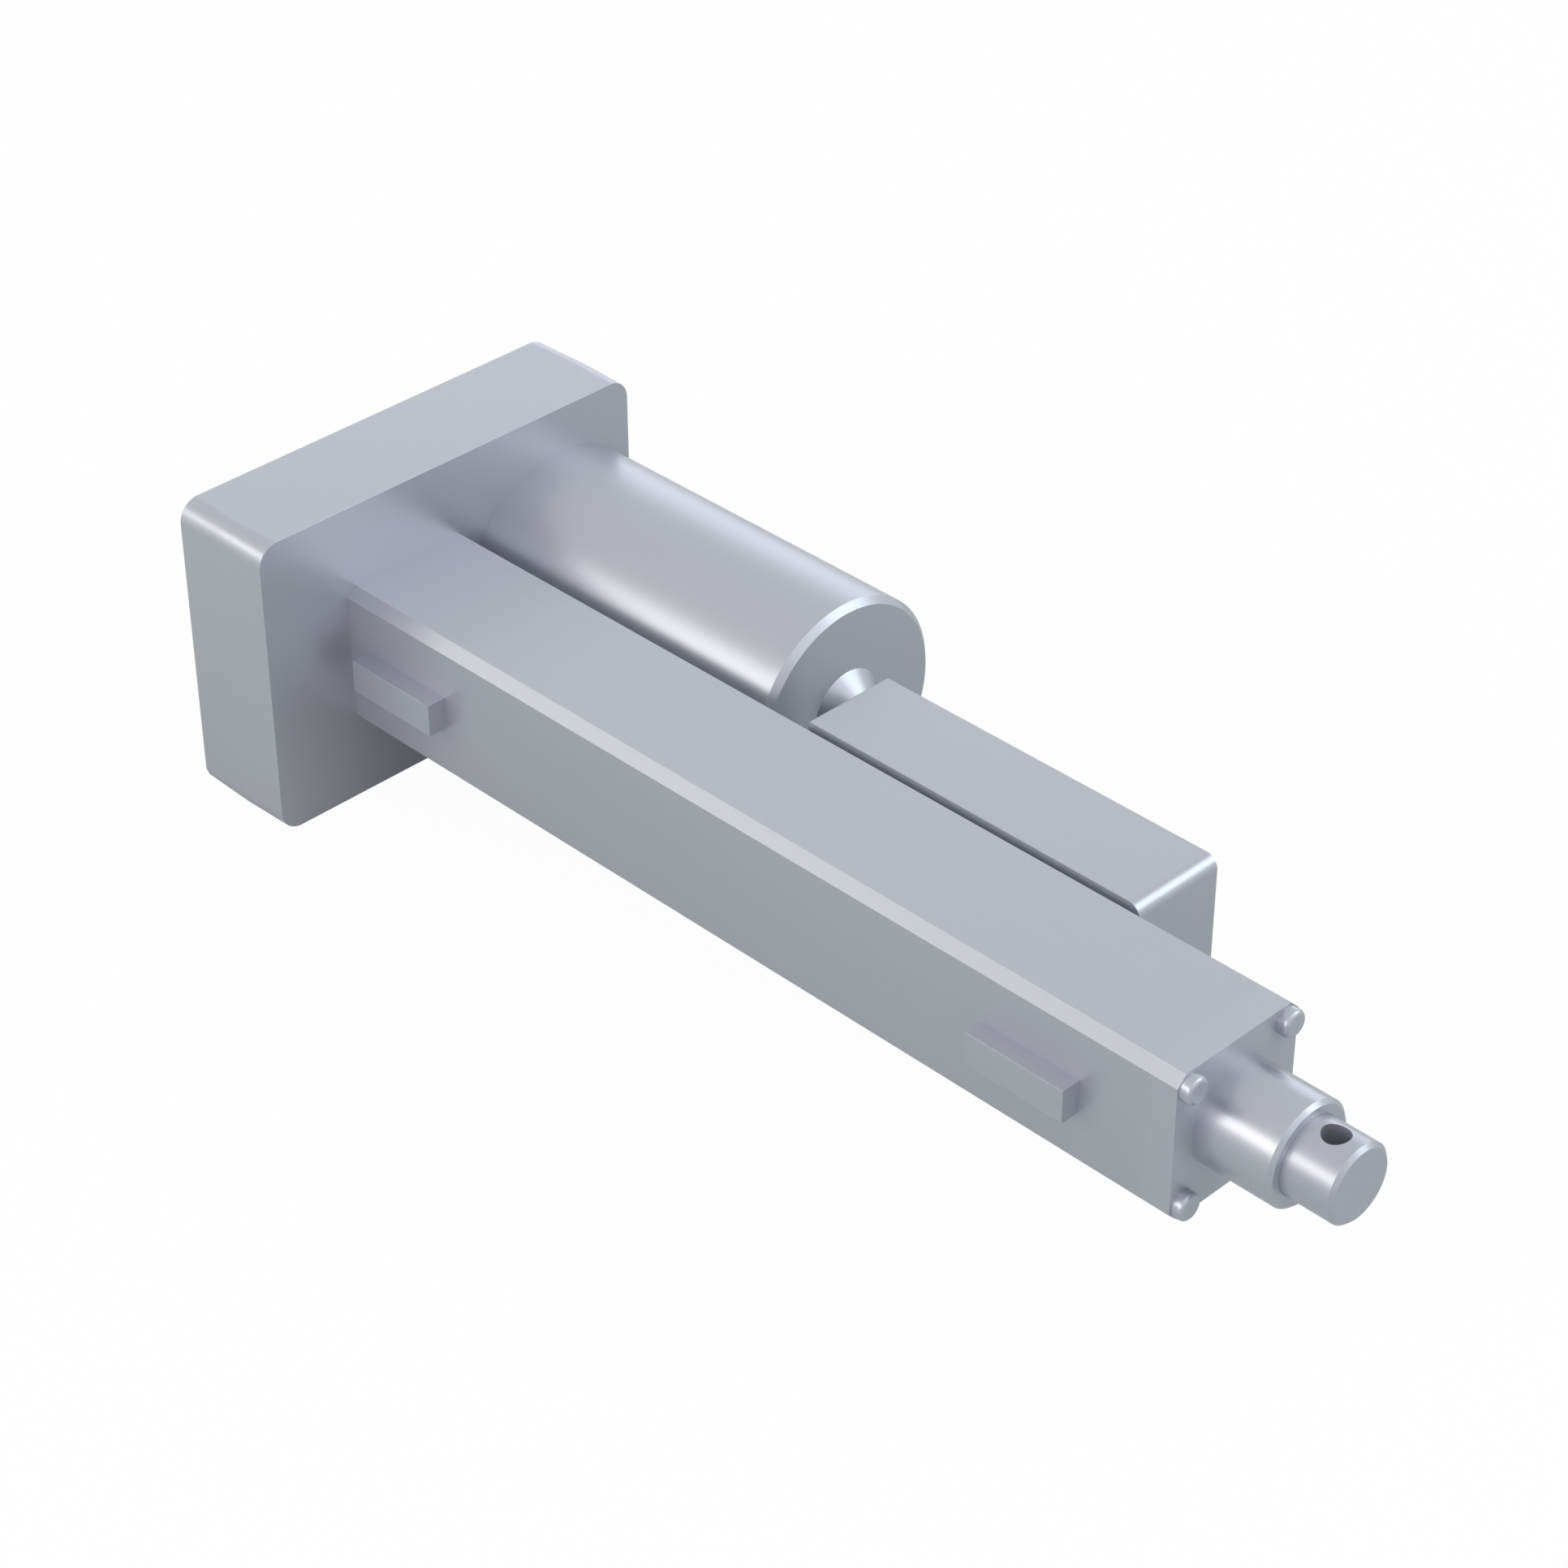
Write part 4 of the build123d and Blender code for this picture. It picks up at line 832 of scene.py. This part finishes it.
floor_size, floor_cells = 12.0, 8
floor_gap = 0.5
floor_tone = 0.70
floor_seen = 0.97
shade_reach, white_reach = 0.35, 1.2
floor_middle = (0.17, 0.015, 0.0)
bpy.ops.object.select_all(action="DESELECT")
bpy.ops.mesh.primitive_grid_add(
    x_subdivisions=floor_cells, y_subdivisions=floor_cells, size=floor_size
)
floor = place_in_mesh("floor")
floor.data.transform(Matrix.Translation((0.0, 0.0, cad_box[0][2] - floor_gap * MM)))
material, wires, place = start_material("floor")
dull = wires.node("ShaderNodeBsdfDiffuse", {}, {"Color": (floor_tone, floor_tone, floor_tone, 1)})
bright = wires.node("ShaderNodeEmission", {}, {"Color": (1, 1, 1, 1), "Strength": 1.0})
# Mirrored rays see the floor's white glow only away from the object. Near it the glow fades out,
# which paints a shade round the object into the metal's reflections.
both_places = {0: place, 1: floor_middle}
from_middle = wires.node("ShaderNodeVectorMath", {"operation": "DISTANCE"}, both_places, "Value")
limits = {"From Min": shade_reach, "From Max": white_reach}
mirrored_white_beyond_painted_shade = wires.node("ShaderNodeMapRange", {"clamp": True}, {"Value": from_middle, **limits})
share = seen_white(wires, floor_seen, mirrored_white_beyond_painted_shade)
mixed = wires.node("ShaderNodeMixShader", {}, {0: share, 1: dull, 2: bright})
floor.data.materials.append(end_material(material, mixed))

sky_strength = 0.572
sky_mirrored = 0.73
sky_color = (0.912, 1.0, 0.957)
world = bpy.data.worlds.new("sky")
world.use_nodes = True
world.node_tree.nodes.clear()
bpy.context.scene.world = world
wires = Wire(world.node_tree)
dim = wires.node("ShaderNodeBackground", {}, {"Color": (*sky_color, 1), "Strength": sky_strength})
white = wires.node("ShaderNodeBackground", {}, {"Color": (1, 1, 1, 1), "Strength": 1.0})
share = seen_white(wires, 1.0, sky_mirrored)
mixed = wires.node("ShaderNodeMixShader", {}, {0: share, 1: dim, 2: white})
output = world.node_tree.nodes.new("ShaderNodeOutputWorld")
world.node_tree.links.new(mixed.socket, output.inputs["Surface"])

light_distance = 2.0
lit_middle = Vector((0.17, 0.02, 0.0))


def soft_box(name, direction, size, power, color):
    """Rectangular area light that shines on the middle of the object from a direction."""
    data = bpy.data.lights.new(name, "AREA")
    data.shape = "RECTANGLE"
    data.size, data.size_y = size
    data.energy = power
    data.color = color
    light = bpy.data.objects.new(name, data)
    toward = Vector(direction).normalized()
    light.location = lit_middle + toward * light_distance
    light.rotation_euler = toward.to_track_quat("Z", "Y").to_euler()
    bpy.context.scene.collection.objects.link(light)


soft_box("back_box", (-0.55, 0.75, 0.20), size=(2.4, 1.0), power=6.5, color=(0.78, 0.90, 1.0))
soft_box("right_box", (0.52, 0.62, 0.57), size=(1.25, 1.25), power=10.8, color=(0.84, 0.97, 1.0))
soft_box("left_box", (-0.45, -0.81, 0.36), size=(1.8, 0.72), power=9.3, color=(1.0, 0.97, 0.89))
soft_box("front_box", (0.66, 0.05, 0.75), size=(1.6, 1.6), power=4.6, color=(0.94, 0.98, 1.0))
soft_box("low_left_box", (0.20, -0.93, 0.30), size=(1.6, 0.8), power=9.0, color=(0.94, 0.90, 1.0))
